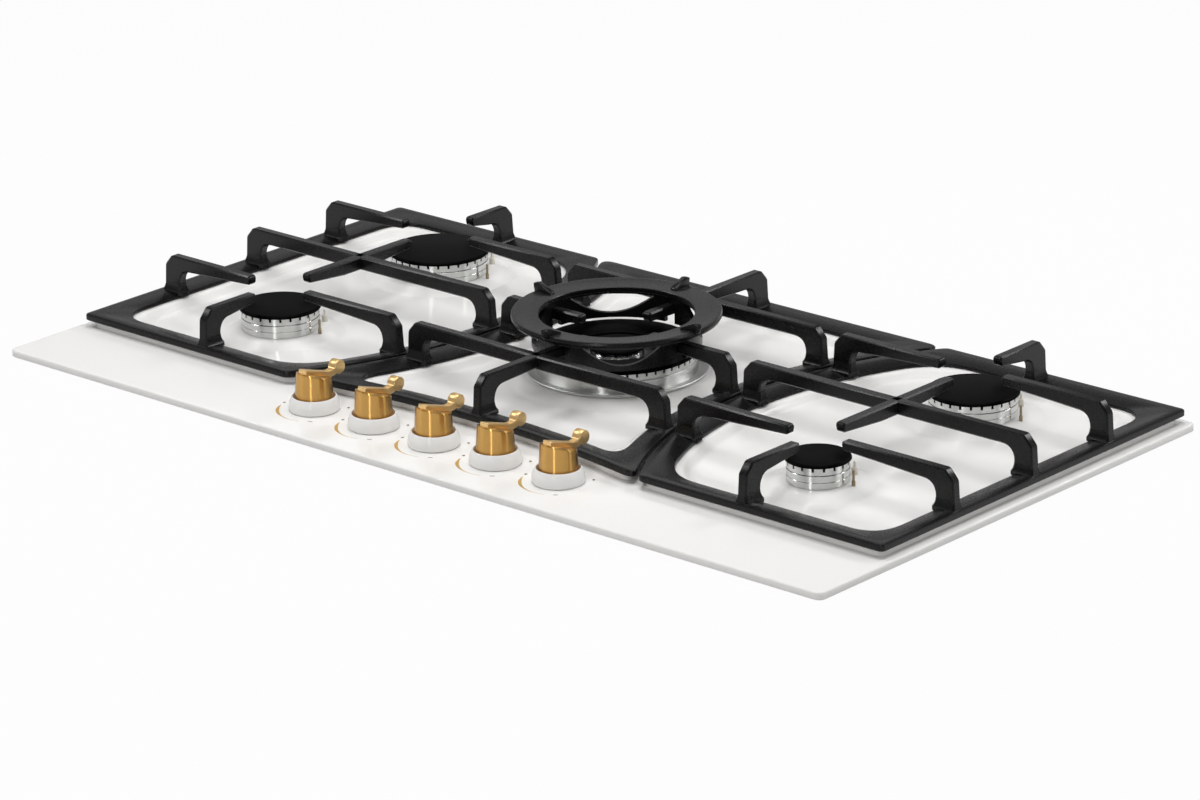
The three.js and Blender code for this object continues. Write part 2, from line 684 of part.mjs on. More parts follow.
// Wok burner: dished base and cup, double crown, ring-shaped lid and inner lid.
const wokCrownR = WOK_CAP_R - CAP_OVERHANG;
const wokInnerCrownR = WOK_INNER_R - CAP_OVERHANG;
const wokSeat = TOP + BOSS_H + FIT;
const pinHoles = wokPins.map(([x, y], i) => (
  solid(post(PIN_RADII[i] + SLIDE_FIT, x, y, 0, TOP + 40, TINY))));
let wokCup = solid(turned([
  [0, TOP - NECK_DROP],
  [WOK_NECK_R, TOP - NECK_DROP],
  [WOK_NECK_R, wokSeat],
  [WOK_DISH_R - 2, wokSeat],
  [WOK_DISH_R, wokSeat + WOK_DISH_T],
  [WOK_DISH_R - 3, wokSeat + WOK_DISH_T],
  [wokCrownR + 3, wokSeat + 1.2],
  [wokCrownR, wokSeat + 1.2],
  [wokCrownR, CUP_TOP],
  [0, CUP_TOP],
], 0, GRATE_CY, FINE));
let wokCrown = placed(crownRing(
  wokCrownR, wokInnerCrownR - CROWN_WALL, CUP_TOP + FIT, CROWN_TOP, WOK_SLOTS, FINE), 0, GRATE_CY);
const wokInner = crownRing(
  wokInnerCrownR, CROWN_BORE, CUP_TOP + FIT, CROWN_TOP + WOK_INNER_RISE, WOK_INNER_SLOTS);
wokCrown = wokCrown.add(placed(wokInner, 0, GRATE_CY));
for (const hole of pinHoles) {
  wokCup = wokCup.subtract(hole);
  wokCrown = wokCrown.subtract(hole);
}
addPart('burner_cup_wok', wokCup, 'aluminium');
addPart('burner_crown_wok', wokCrown, 'aluminium');
addPart('burner_ring_cap_wok', solid(turned([
  [WOK_CAP_HOLE, CROWN_TOP + FIT],
  [WOK_CAP_R, CROWN_TOP + FIT],
  [WOK_CAP_R, CROWN_TOP + FIT + CAP_T - CAP_BEVEL],
  [WOK_CAP_R - CAP_BEVEL, CROWN_TOP + FIT + CAP_T],
  [WOK_CAP_HOLE + CAP_BEVEL, CROWN_TOP + FIT + CAP_T],
  [WOK_CAP_HOLE, CROWN_TOP + FIT + CAP_T - CAP_BEVEL],
], 0, GRATE_CY, FINE)), 'capBlack');
addPart('burner_cap_wok', cap(WOK_INNER_R, CROWN_TOP + WOK_INNER_RISE, 0, GRATE_CY), 'capBlack');

// Spark plugs (ceramic) and thermocouples, one of each at every burner.
const pinSets = [...BURNERS, { name: 'wok', pins: wokPins, rise: WOK_PIN_RISE }];
for (const { name, pins: [plug, sensor], rise = 0 } of pinSets) {
  const plugTop = PLUG_TOP + rise;
  addPart(`spark_plug_${name}`, solid(post(PLUG_R, ...plug, TOP - PIN_DROP, plugTop - 5, TINY))
    .add(solid(post(PLUG_TIP_R, ...plug, plugTop - 6, plugTop, TINY))), 'ceramic');
  addPart(`thermocouple_${name}`,
    solid(post(SENSOR_R, ...sensor, TOP - PIN_DROP, SENSOR_TOP + rise, TINY)), 'rawBrass');
}

// ------------------------------------------------------------ knobs and taps
// The stem has one flat; the knob has the same hole with clearance.
function stemSection(grow, x, z0, z1) {
  return solid(post(STEM_R + grow, x, KNOB_Y, z0, z1, SMALL))
    .subtract(solid(box(x - 10, x + 10, KNOB_Y + STEM_FLAT + grow, KNOB_Y + 20, z0 - 1, z1 + 1)));
}

// Side view of the lever: along the sloping top, then up to a round end.
function leverShape() {
  const topZ = (y) => KNOB_MID - y * Math.tan(KNOB_SLOPE);
  const endZ = KNOB_MID + 0.5;
  const start = LEVER_START;
  const shape = new THREE.Shape();
  shape.moveTo(start, topZ(start) - 3);
  shape.lineTo(start, topZ(start) + LEVER_RISE - 1.5);
  shape.quadraticCurveTo(start, topZ(start) + LEVER_RISE, start + 2, topZ(start + 2) + LEVER_RISE);
  shape.lineTo(12, topZ(12) + LEVER_RISE);
  shape.quadraticCurveTo(18, topZ(15) + LEVER_RISE, LEVER_REACH - 6, endZ + 1);
  shape.absarc(LEVER_REACH, endZ, LEVER_END_R, degrees(165), degrees(-105), true);
  shape.quadraticCurveTo(21, topZ(16) - 3, 13, topZ(13) - 3);
  return shape;
}

// The lever is narrow at its front end and widens towards its round end.
function lever() {
  const geometry = upright(leverShape(), LEVER_T, LEVER_EDGE, 0, 0, Math.PI / 2);
  const position = geometry.attributes.position;
  for (const i of range(position.count)) {
    const along = (position.getY(i) - LEVER_START) / (LEVER_REACH - LEVER_START);
    const share = LEVER_TIP_T / LEVER_T;
    position.setX(i, position.getX(i) * Math.min(1, share + (1 - share) * Math.max(0, along)));
  }
  return solid(geometry);
}

function knob(x) {
  const shank = solid(turned([
    [0, KNOB_BASE],
    [KNOB_R, KNOB_BASE],
    [KNOB_R, TOP + COLLAR_H + 1],
    [KNOB_TOP_R, KNOB_MID + 8],
    [0, KNOB_MID + 8],
  ], 0, 0));
  const above = box(-30, 30, -40, 40, 0, 30).rotateX(-KNOB_SLOPE).translate(0, 0, KNOB_MID);
  const body = shank.subtract(solid(above)).add(lever());
  const bore = stemSection(FIT, x, KNOB_BASE - 1, STEM_TOP + KNOB_TRAVEL + FIT);
  return placed(body, x, KNOB_Y).subtract(bore);
}

const feeds = [BURNERS[0], BURNERS[1], { x: 0, y: GRATE_CY }, BURNERS[2], BURNERS[3]];
knobXs.forEach((x, i) => {
  const number = i + 1;
  addPart(`knob_${number}`, knob(x), 'brass');
  addPart(`knob_collar_${number}`, solid(turned([
    [COLLAR_BORE, TOP + FIT],
    [COLLAR_R - 1, TOP + FIT],
    [COLLAR_R, TOP + 2.5],
    [COLLAR_R - 0.9, TOP + 7.5],
    [COLLAR_BORE + 1, TOP + COLLAR_H],
    [COLLAR_BORE, TOP + COLLAR_H - 0.6],
  ], x, KNOB_Y)), 'white');
  addPart(`tap_stem_${number}`, stemSection(0, x, TAP_TOP - TAP_H / 2, STEM_TOP), 'zinc');

  // Tap: block with a neck, and the pipe that runs under the rail to its burner.
  const pipeEnd = TOP - NECK_DROP - FIT;
  const feed = feeds[i];
  let tap = solid(box(x - TAP_W / 2, x + TAP_W / 2, KNOB_Y - TAP_D / 2, KNOB_Y + TAP_D / 2,
    TAP_TOP - TAP_H, TAP_TOP))
    .add(solid(post(TAP_NECK_R, x, KNOB_Y, TAP_TOP - 1, TAP_TOP + TAP_NECK_H)))
    .add(solid(post(PIPE_R, x, KNOB_Y, PIPE_Z - PIPE_R, TAP_TOP - TAP_H + 1, TINY)))
    .add(solid(rod(PIPE_R, [x, KNOB_Y, PIPE_Z], [feed.x, feed.y, PIPE_Z], TINY)))
    .add(solid(post(PIPE_R, feed.x, feed.y, PIPE_Z - PIPE_R, pipeEnd, TINY)));
  tap = tap.subtract(solid(post(
    STEM_R + FIT, x, KNOB_Y, TAP_TOP - TAP_H / 2 - FIT, TAP_TOP + 20, SMALL)));
  addPart(`tap_${number}`, tap, 'rawBrass');
});

// Gas rail behind the taps, its feed pipe and the threaded inlet at the rear.
const inletStart = BOX_D / 2 - 14;
const rail = solid(rod(RAIL_R, [-RAIL_END, RAIL_Y, RAIL_Z], [FEED_X, RAIL_Y, RAIL_Z]))
  .add(solid(new THREE.SphereGeometry(RAIL_R, SMALL, 6).translate(FEED_X, RAIL_Y, RAIL_Z)))
  .add(solid(rod(RAIL_R, [FEED_X, RAIL_Y, RAIL_Z], [FEED_X, inletStart + 2, RAIL_Z])))
  .add(solid(rod(INLET_R, [FEED_X, inletStart, RAIL_Z], [FEED_X, INLET_END, RAIL_Z])))
  .subtract(solid(rod(6.5, [FEED_X, inletStart + 6, RAIL_Z], [FEED_X, INLET_END + 5, RAIL_Z])));
addPart('gas_rail', rail, 'zinc');

// Ignition transformer on the floor of the box, and the mains cable gland.
addPart('ignition_module',
  solid(box(GLAND_X - 42, GLAND_X + 42, 20, 62, BOX_WALL + FIT, BOX_WALL + 26)), 'plastic');
const glandWall = BOX_D / 2;
addPart('cable_gland',
  solid(rod(GLAND_R, [GLAND_X, glandWall - 8, RAIL_Z], [GLAND_X, glandWall + 4, RAIL_Z]))
    .add(solid(rod(GLAND_R + 3, [GLAND_X, glandWall + FIT, RAIL_Z], [GLAND_X, glandWall + 7, RAIL_Z], 6)))
    .add(solid(rod(GLAND_R - 1, [GLAND_X, glandWall + 6, RAIL_Z], [GLAND_X, glandWall + 14, RAIL_Z])))
    .subtract(solid(rod(4, [GLAND_X, glandWall - 20, RAIL_Z], [GLAND_X, glandWall + 20, RAIL_Z]))),
  'rubber');

// Worktop clamps: an angle on the wall of the box, its foot under the worktop.
for (const [name, x, side] of [
  ['front_left', -CLAMP_X, -1], ['front_right', CLAMP_X, -1],
  ['rear_left', -CLAMP_X + 60, 1], ['rear_right', CLAMP_X, 1],
]) {
  const wall = BOX_D / 2 + FIT;
  const legs = [
    box(x - CLAMP_W / 2, x + CLAMP_W / 2, wall, wall + CLAMP_T, CLAMP_Z - CLAMP_T, SEAT_Z - 8),
    box(x - CLAMP_W / 2, x + CLAMP_W / 2, wall, wall + CLAMP_REACH, CLAMP_Z - CLAMP_T, CLAMP_Z),
  ].map((geometry) => solid(side > 0 ? geometry : geometry.rotateZ(Math.PI).translate(2 * x, 0, 0)));
  addPart(`clamp_${name}`, legs[0].add(legs[1]), 'zinc');
}

export default group;
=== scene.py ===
# %% [markdown]
# # A built-in gas cooktop
# The real thing is a white enamelled plate, 900 mm wide, with five burners, three cast iron
# grates that meet along curved seams, a loose wok ring and five brass knobs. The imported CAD
# model is the fixed frame: every solid sits where it sits on the real cooktop. The solids
# could simply be given finishes, but their flat facets and sharp edges would show. So each
# piece that can be seen is rebuilt here with smooth curves and rounded edges, and only the
# solids under the plate stay as they are.

# %% Load the frame
import json
import math
from collections import namedtuple

import bmesh
import bpy
from mathutils import Matrix, Vector

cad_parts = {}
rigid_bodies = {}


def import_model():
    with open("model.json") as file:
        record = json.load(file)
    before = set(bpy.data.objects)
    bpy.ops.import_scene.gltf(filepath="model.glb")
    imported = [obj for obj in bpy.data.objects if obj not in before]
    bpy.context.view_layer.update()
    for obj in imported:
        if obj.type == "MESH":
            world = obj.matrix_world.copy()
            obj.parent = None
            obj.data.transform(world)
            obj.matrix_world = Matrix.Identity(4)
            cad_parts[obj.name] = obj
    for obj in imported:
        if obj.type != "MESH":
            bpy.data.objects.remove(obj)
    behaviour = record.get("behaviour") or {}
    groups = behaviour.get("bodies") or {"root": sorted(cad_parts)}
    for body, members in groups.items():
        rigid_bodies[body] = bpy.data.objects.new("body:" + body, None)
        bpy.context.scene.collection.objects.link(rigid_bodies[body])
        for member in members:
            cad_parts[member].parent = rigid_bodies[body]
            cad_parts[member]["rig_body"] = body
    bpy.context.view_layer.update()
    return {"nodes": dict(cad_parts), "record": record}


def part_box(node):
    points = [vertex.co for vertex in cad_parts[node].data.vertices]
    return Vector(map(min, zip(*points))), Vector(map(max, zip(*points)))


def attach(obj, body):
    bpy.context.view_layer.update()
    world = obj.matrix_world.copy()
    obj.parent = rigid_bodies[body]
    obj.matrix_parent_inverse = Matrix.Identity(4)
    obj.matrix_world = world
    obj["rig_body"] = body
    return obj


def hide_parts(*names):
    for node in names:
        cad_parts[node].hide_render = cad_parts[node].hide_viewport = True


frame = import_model()
NODES = frame["nodes"]

# %% [markdown]
# ## Units
# A maker's drawing is in millimetres and Blender works in metres. Every size below is a real
# one in millimetres, and `MM` turns it into metres where a mesh is made. Heights count from
# `TOP`, the surface of the plate, because burners, grates and knobs are all set by it.

# %% Units and the plate's size
MM = 0.001
TOP = 52.0    # the plate's surface above the underside of the box
PLATE = (900.0, 486.0)
PLATE_EDGE, PLATE_CORNER = 6.3, 7.0
SEAL = 0.5
SEAT = TOP - PLATE_EDGE - SEAL    # where the seal rests on the worktop
print("plate:", PLATE, "mm, its seal rests at", round(SEAT, 1), "mm")

# %% [markdown]
# ## Colours and nodes
# A designer picks colours as sRGB hex codes, while the renderer adds up light in linear
# numbers. Blender's colour field can turn one into the other, but a code in the text can be
# held against a sample card, so `linear` does it here.

# %% Colours
def linear(code):
    channels = [int(code[i:i + 2], 16) / 255 for i in (1, 3, 5)]
    return [c / 12.92 if c <= 0.04045 else ((c + 0.055) / 1.055) ** 2.4 for c in channels] + [1]


print("the grey #808080 is", round(linear("#808080")[0], 3), "in linear light")

# %% [markdown]
# A material is a small tree of nodes, and it could be drawn by hand in the shader editor.
# Written out, it can be read and repeated: `add_node` adds one node of any kind with its
# settings, numbers and links, and `new_material` sets what is the same all over a surface.

# %% Nodes
def add_node(tree, kind, links=None, sockets=None, **settings):
    made = tree.nodes.new(kind)
    for name, value in settings.items():
        setattr(made, name, value)
    for name, value in (sockets or {}).items():
        made.inputs[name].default_value = value
    for name, source in (links or {}).items():
        tree.links.new(source, made.inputs[name])
    return made


def new_material(name, **sockets):
    material = bpy.data.materials.new(name)
    material.use_nodes = True
    shader = material.node_tree.nodes["Principled BSDF"]
    for key, value in sockets.items():
        shader.inputs[key.replace("_", " ")].default_value = value
    return material, material.node_tree, shader


# %% [markdown]
# ## Surface grain
# No real surface is one flat colour. Sand-cast, fired, rolled, moulded and turned surfaces
# differ in how coarse and how deep their grain is, and the rest is alike. A photograph of
# each would need to be laid around every piece and would show where it meets itself. One
# noise in the piece's own space has no such join, so `grain` lets it shift the colour a
# little, vary the roughness and lift the surface. Its size is given in millimetres, and
# `stretch` below 1 draws it out into lines along that axis.

# %% Surface grain
FIRST_COLOUR, SECOND_COLOUR, MIXED_COLOUR = 6, 7, 2    # the colour sockets of a Mix node


def grain(tree, shader, grain_mm, tones, rough, height_mm, stretch):
    place = add_node(tree, "ShaderNodeTexCoord").outputs["Object"]
    scale = [axis / (grain_mm * MM) for axis in stretch]
    mapped = add_node(tree, "ShaderNodeMapping", {"Vector": place}, {"Scale": scale})
    noise = add_node(tree, "ShaderNodeTexNoise", {"Vector": mapped.outputs[0]},
                     {"Scale": 1, "Detail": 4, "Roughness": 0.6}).outputs["Fac"]
    tint = add_node(tree, "ShaderNodeMix", {"Factor": noise}, data_type="RGBA",
                    sockets={FIRST_COLOUR: linear(tones[0]), SECOND_COLOUR: linear(tones[1])})
    tree.links.new(tint.outputs[MIXED_COLOUR], shader.inputs["Base Color"])
    # Nearly all of the noise lies between 0.3 and 0.7, so that span takes the whole roughness.
    spread = add_node(tree, "ShaderNodeMapRange", {"Value": noise},
                      {"From Min": 0.3, "From Max": 0.7, "To Min": rough[0], "To Max": rough[1]})
    tree.links.new(spread.outputs[0], shader.inputs["Roughness"])
    bump = add_node(tree, "ShaderNodeBump", {"Height": noise},
                    {"Strength": 1, "Distance": height_mm * MM})
    tree.links.new(bump.outputs[0], shader.inputs["Normal"])


def finish(name, grain_mm, tones, rough, height_mm, stretch=(1, 1, 1), **sockets):
    material, tree, shader = new_material(name, **sockets)
    grain(tree, shader, grain_mm, tones, rough, height_mm, stretch)
    return material


# %% [markdown]
# ## Enamel and iron
# The plate and collars are steel with porcelain enamel, which is glass fired onto the metal.
# The grates are sand-cast iron under a thin matt enamel, and the burner lids are pressed
# steel with an even duller one. A clear coat over a base would suit a painted piece, but
# fired enamel has its colour in the glass, so one layer does, and only its mirror level is
# brought down until each surface mirrors as little as it does in the photograph.

# %% Enamel and iron
# A slow orange peel, 4 mm across, makes reflections in the glossy white a little soft.
white_enamel = finish("porcelain_enamel_fired", 4, ("#f2f1ef", "#efeeec"), (0.1, 0.15), 0.005,
                      Specular_IOR_Level=0.15)
# Sand grain of about 1 mm breaks up the grey sheen that the tops of the bars catch.
cast_iron = finish("cast_iron_matt_enamel", 1.1, ("#050505", "#0d0d0d"), (0.24, 0.34), 0.03,
                   Specular_IOR_Level=0.28, Sheen_Weight=0.1, Sheen_Roughness=0.35)
# A dead matt skin: the lids read as near-black discs.
cap_enamel = finish("burner_cap_matt_enamel", 0.8, ("#020202", "#040404"), (0.4, 0.5), 0.02,
                    Specular_IOR_Level=0.03)
print("enamels:", white_enamel.name, cast_iron.name, cap_enamel.name)

# %% [markdown]
# ## Turned and cast metal
# Burner crowns and the knobs' shanks are turned on a lathe. The tool leaves fine lines
# around the axis, and they draw every highlight out along it into bright upright bands.
# Thousands of modelled grooves would do that too. An anisotropic shader with its tangent
# around the axis gives the same bands without them. The real lines are about 0.1 mm apart,
# too fine to show, so the grain is drawn a few times as coarse and is hardly raised.

# %% Turned and cast metal
LATHE_STRETCH = (0.02, 0.02, 1)    # lines fifty times as long as they are wide


def turned_metal(name, line_mm, tones, rough, height_mm):
    """Lathe lines run around the axis, so a highlight is drawn out along the axis."""
    material, tree, shader = new_material(name, Metallic=1, Anisotropic=1,
                                          Anisotropic_Rotation=0.25)
    grain(tree, shader, line_mm, tones, rough, height_mm, LATHE_STRETCH)
    around = add_node(tree, "ShaderNodeTangent", direction_type="RADIAL", axis="Z")
    tree.links.new(around.outputs[0], shader.inputs["Tangent"])
    return material


# Pale metal with bright upright bands between the flame slots.
turned_aluminium = turned_metal("cast_aluminium_turned", 0.5, ("#d6d7d5", "#d9dad8"),
                                (0.235, 0.25), 0.0002)
# The skin that the die leaves: the same metal, but an even light grey without bands.
cast_aluminium = finish("aluminium_die_cast", 0.9, ("#d2d3d1", "#dadbd9"), (0.4, 0.5), 0.01,
                        Metallic=1)
# Brushed while it spins, so the shank shows one thin bright streak and a broad soft one.
gold_brass = turned_metal("brass_turned_brushed", 0.35, ("#cda05a", "#d2a560"), (0.255, 0.27),
                          0.0002)
# Cast and blasted: no direction in the grain, so light spreads evenly over the lever. It is the
# shank's brass, painted paler: a painted highlight for the light that its upward faces catch.
lever_brass_painted_lit = finish("brass_satin_painted_lit", 0.5, ("#f3cd8e", "#f6d398"), (0.36, 0.44), 0.003,
                    Metallic=1)
print("metals:", turned_aluminium.name, cast_aluminium.name, gold_brass.name, lever_brass_painted_lit.name)

# %% [markdown]
# ## Inks and small parts
# The dial marks are ceramic ink, screened onto the enamel and fired. The pieces under the
# plate are ordinary trade materials. They hardly show, and flat grey would pass from above,
# but the part is also turned over, so each gets its own finish.

# %% Inks
# The dots of the screen, about 0.6 mm apart, keep the ink from looking like metal leaf.
gold_ink = finish("gold_ink_fired", 0.6, ("#c39a50", "#cfa860"), (0.35, 0.5), 0.004)
dark_ink = finish("brown_ink_fired", 0.6, ("#6d5a40", "#7b684c"), (0.35, 0.5), 0.004)
print("inks:", gold_ink.name, dark_ink.name)

# %% Small and hidden parts
# Zinc crystals about 7 mm across give rolled sheet its patchy grey.
zinc = finish("galvanised_steel_rolled", 7, ("#9fa3a4", "#bcc0c1"), (0.38, 0.52), 0.01, Metallic=1)
# Machined brass is a plain dull yellow.
raw_brass = finish("brass_machined", 0.6, ("#a8843f", "#bd9850"), (0.34, 0.46), 0.01, Metallic=1)
# A glaze makes the ceramic of the spark plugs smooth, in a warm white.
ceramic = finish("alumina_ceramic_glazed", 1.5, ("#ebe6da", "#e2dccd"), (0.22, 0.34), 0.01)
# Brass beside a flame loses its yellow and most of its shine.
dulled_brass = finish("brass_heat_dulled", 0.6, ("#93836a", "#a39276"), (0.36, 0.48), 0.01,
                      Metallic=1)
# Extruded rubber is dry and almost without a highlight.
rubber = finish("epdm_rubber_extruded", 0.8, ("#232323", "#2c2c2c"), (0.75, 0.88), 0.02)
# Moulded ABS has the fine even grain of its mould.
plastic = finish("abs_moulded", 0.7, ("#d9d6cb", "#d0cdc1"), (0.5, 0.62), 0.02)
print("small parts:", zinc.name, raw_brass.name, ceramic.name, dulled_brass.name, rubber.name,
      plastic.name)

# %% [markdown]
# ## Making meshes
# Sculpting or subdividing boxes could give these pieces, but a maker turns, bends and casts
# them from drawn sections, and the same sections work here. A *loft* joins rings that have
# the same number of points, a *turned* piece is a section spun on an upright axis, and an
# *upright* is a side view given a thickness.

# %% From points to an object
WELD = 1e-7    # points closer than this, in metres, become one


def mesh_object(name, points, faces):
    data = bpy.data.meshes.new(name)
    data.from_pydata([Vector(p) * MM for p in points], [], faces)
    made = bpy.data.objects.new(name, data)
    bpy.context.scene.collection.objects.link(made)
    edit = bmesh.new()
    edit.from_mesh(data)
    bmesh.ops.remove_doubles(edit, verts=edit.verts, dist=WELD)
    bmesh.ops.recalc_face_normals(edit, faces=edit.faces)
    edit.to_mesh(data)
    edit.free()
    return made


# %% Lofted and turned pieces
def loft(name, rings, closed=False, caps=False):
    """`closed` joins the last ring to the first, and `caps` closes both ends."""
    count = len(rings[0])
    points = [p for ring in rings for p in ring]
    spans = len(rings) if closed else len(rings) - 1
    faces = []
    for i in range(spans):
        a, b = i * count, (i + 1) % len(rings) * count
        faces += [(a + j, a + (j + 1) % count, b + (j + 1) % count, b + j) for j in range(count)]
    if caps:
        faces += [tuple(range(count)), tuple(range(len(points) - count, len(points)))]
    return mesh_object(name, points, faces)


def turns(count):
    """The angles of equal steps around the axis."""
    return [2 * math.pi * k / count for k in range(count)]


def circle(x, y, radius, z, around):
    return [(x + radius * math.cos(a), y + radius * math.sin(a), z) for a in turns(around)]


def turned(name, section, x, y, closed=False, around=96):
    """Spin a section of (radius, height) points around the axis over (x, y)."""
    return loft(name, [circle(x, y, r, z, around) for r, z in section], closed, caps=not closed)


print("a disc of 50 mm radius with 96 sides is at most",
      round(50 * (1 - math.cos(math.pi / 96)), 3), "mm short of round")

# %% [markdown]
# Real edges are never knife sharp, and the thin line of light on a rounded edge is what makes a
# piece look solid. A shader can fake that line, but the mesh itself would keep its sharp edges, so
# `bevel` cuts it into the mesh.

# %% Upright pieces with rounded edges
BEVEL_FROM = math.radians(35)    # edges flatter than this stay as they are


def apply_modifiers(made):
    graph = bpy.context.evaluated_depsgraph_get()
    data = bpy.data.meshes.new_from_object(made.evaluated_get(graph))
    made.modifiers.clear()
    made.data = data
    return made


def bevel(made, width_mm, segments):
    edge = made.modifiers.new("edge", "BEVEL")
    edge.width, edge.segments = width_mm * MM, segments
    edge.limit_method, edge.angle_limit = "ANGLE", BEVEL_FROM
    return apply_modifiers(made)


def placed(points, x, y, angle):
    """Turn points around the upright axis, then move them over (x, y)."""
    turn = Matrix.Rotation(angle, 4, "Z")
    return [turn @ Vector(p) + Vector((x, y, 0)) for p in points]


def upright(name, outline, thickness, x, y, angle, edge_mm, segments=2):
    rings = [placed([(a, side * thickness / 2, z) for a, z in outline], x, y, angle)
             for side in (-1, 1)]
    return bevel(loft(name, rings, caps=True), edge_mm, segments)


# %% [markdown]
# Flame slots, notches and windows are cut with a knife solid, as a milling cutter would
# cut them. Building the wall around each opening would keep the mesh simpler, but then a
# change of one slot would mean new faces all around.

# %% Cutting
def cut(made, cutter):
    knife = made.modifiers.new("cut", "BOOLEAN")
    knife.operation, knife.solver, knife.object = "DIFFERENCE", "EXACT", cutter
    apply_modifiers(made)
    bpy.data.objects.remove(cutter)
    return made


def block(name, near, far, half_width, low, high, x, y, angle):
    """A bar-shaped knife that reaches outwards from the axis over (x, y)."""
    corners = ((near, -half_width), (far, -half_width), (far, half_width), (near, half_width))
    rings = [placed([(a, b, z) for a, b in corners], x, y, angle) for z in (low, high)]
    return loft(name, rings, caps=True)


# %% [markdown]
# Pieces of one casting are joined into one object, so that they move and are listed as one.
# `dress` gives a piece its finish, lets it ride on its moving body and tells which solid of
# the frame it stands for, so that the solid is hidden behind it.

# %% Joining and dressing
def join(pieces, name):
    whole = bmesh.new()
    for piece in pieces:
        whole.from_mesh(piece.data)
        bpy.data.objects.remove(piece)
    data = bpy.data.meshes.new(name)
    whole.to_mesh(data)
    whole.free()
    made = bpy.data.objects.new(name, data)
    bpy.context.scene.collection.objects.link(made)
    return made


def dress(made, material, node=None, body=None, angle=32):
    """Edges sharper than `angle` degrees stay crisp, the others are shaded smooth."""
    made.data.materials.clear()
    made.data.materials.append(material)
    made.data.shade_smooth()
    made.data.set_sharp_from_angle(angle=math.radians(angle))
    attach(made, body or NODES[node]["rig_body"])
    if node:
        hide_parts(node)
    return made


# %% [markdown]
# A drawn section needs round stretches as well as straight ones. They could be typed in
# point by point. `curve` works them out from the start, the end and the corner that they
# are pulled towards, as a bent strip of wood would lie.

# %% Round stretches
def curve(start, control, end, steps=6):
    return [tuple((1 - t) ** 2 * a + 2 * t * (1 - t) * b + t * t * c
                  for a, b, c in zip(start, control, end))
            for t in [i / steps for i in range(1, steps + 1)]]


print("halfway round a 10 mm corner:", curve((0, 0), (10, 0), (10, 10), 2)[0])

# %% [markdown]
# ## Camera
# The camera looks through a long lens from 4.2 m away, 19.6 degrees above the plate, and is
# rolled by one degree. It could be set by eye until the picture looks right. This one was
# solved from the edges that show in the photograph, which fits them to about a pixel.

# %% Camera
AZIMUTH, PITCH, ROLL = math.radians(41.87), math.radians(19.56), math.radians(-1.01)
DISTANCE, LENS, SENSOR = 4246.0, 152.0, 36    # millimetres
PICTURE = (1200, 800)
PLATE_CENTRE_PX = (587.2, 384.83)    # where the middle of the plate lies in the picture

back = Vector((math.sin(AZIMUTH) * math.cos(PITCH), -math.cos(AZIMUTH) * math.cos(PITCH),
               math.sin(PITCH)))
level = Vector((math.cos(AZIMUTH), math.sin(AZIMUTH), 0))
rise = back.cross(level)
right = math.cos(ROLL) * level + math.sin(ROLL) * rise
up = math.cos(ROLL) * rise - math.sin(ROLL) * level
pixel = DISTANCE / (LENS / SENSOR * PICTURE[0])    # millimetres at the plate that one covers
offset = (right * ((PLATE_CENTRE_PX[0] - PICTURE[0] / 2) * pixel)
          + up * ((PICTURE[1] / 2 - PLATE_CENTRE_PX[1]) * pixel))
eye = Vector((0, 0, TOP)) - offset + back * DISTANCE

camera = bpy.data.objects.new("camera", bpy.data.cameras.new("camera"))
bpy.context.scene.collection.objects.link(camera)
camera.data.lens, camera.data.sensor_width = LENS, SENSOR
camera.data.clip_end = 100
camera.matrix_world = Matrix.Translation(eye * MM) @ Matrix((right, up, back)).transposed().to_4x4()
bpy.context.scene.camera = camera
print("camera at", [round(c, 3) for c in eye * MM], "m, one pixel is", round(pixel, 2), "mm")

# %% [markdown]
# ## Worktop
# A real cooktop hangs in a cut-out, so the pale floor here is a worktop at the height of
# the seal, with a hole that the box goes through. A plane that only catches shadows would
# need work on the picture afterwards. Instead this surface glows plain white for camera
# and mirror rays and is matt laminate for all other light, and a small share of laminate
# that the camera still sees keeps a soft shadow.

# %% Worktop
CUT_OUT = (870.0, 444.0)
FAR = 15000.0
GLOW_SHARE = 0.955


def laminate():
    """Matt and pale: it lights the cooktop from below as a real worktop does."""
    material, tree, shader = new_material("worktop_laminate_matt", Base_Color=linear("#c9c9c9"),
                                          Roughness=0.9, Specular_IOR_Level=0.1)
    rays = add_node(tree, "ShaderNodeLightPath").outputs
    seen = add_node(tree, "ShaderNodeMath", operation="ADD",
                    links={0: rays["Is Camera Ray"], 1: rays["Is Glossy Ray"]})
    seen = add_node(tree, "ShaderNodeMath", operation="ADD", use_clamp=True,
                    links={0: seen.outputs[0], 1: rays["Is Transmission Ray"]})
    share = add_node(tree, "ShaderNodeMath", {0: seen.outputs[0]}, {1: GLOW_SHARE},
                     operation="MULTIPLY")
    glow = add_node(tree, "ShaderNodeEmission", sockets={"Color": (1, 1, 1, 1), "Strength": 1})
    mixed = add_node(tree, "ShaderNodeMixShader",
                     {0: share.outputs[0], 1: shader.outputs[0], 2: glow.outputs[0]})
    tree.links.new(mixed.outputs[0], tree.nodes["Material Output"].inputs["Surface"])
    return material


def worktop():
    """Three rows of three fields, of which the middle one is the cut-out."""
    xs = (-FAR, -CUT_OUT[0] / 2, CUT_OUT[0] / 2, FAR)
    ys = (-FAR, -CUT_OUT[1] / 2, CUT_OUT[1] / 2, FAR)
    points = [(x, y, SEAT) for y in ys for x in xs]
    fields = [row * 4 + column for row in range(3) for column in range(3)
              if (row, column) != (1, 1)]
    made = mesh_object("worktop", points, [(k, k + 1, k + 5, k + 4) for k in fields])
    made.data.materials.append(laminate())


worktop()
print("worktop with a cut-out of", CUT_OUT, "mm")

# %% [markdown]
# ## Lamps
# A studio lights white enamel with one large soft box and lets smaller ones draw the edges.
# A picture of a studio wrapped around the scene could do the same, but lamps can be moved
# one at a time. Sizes and places are in metres, and each lamp faces the cooktop.

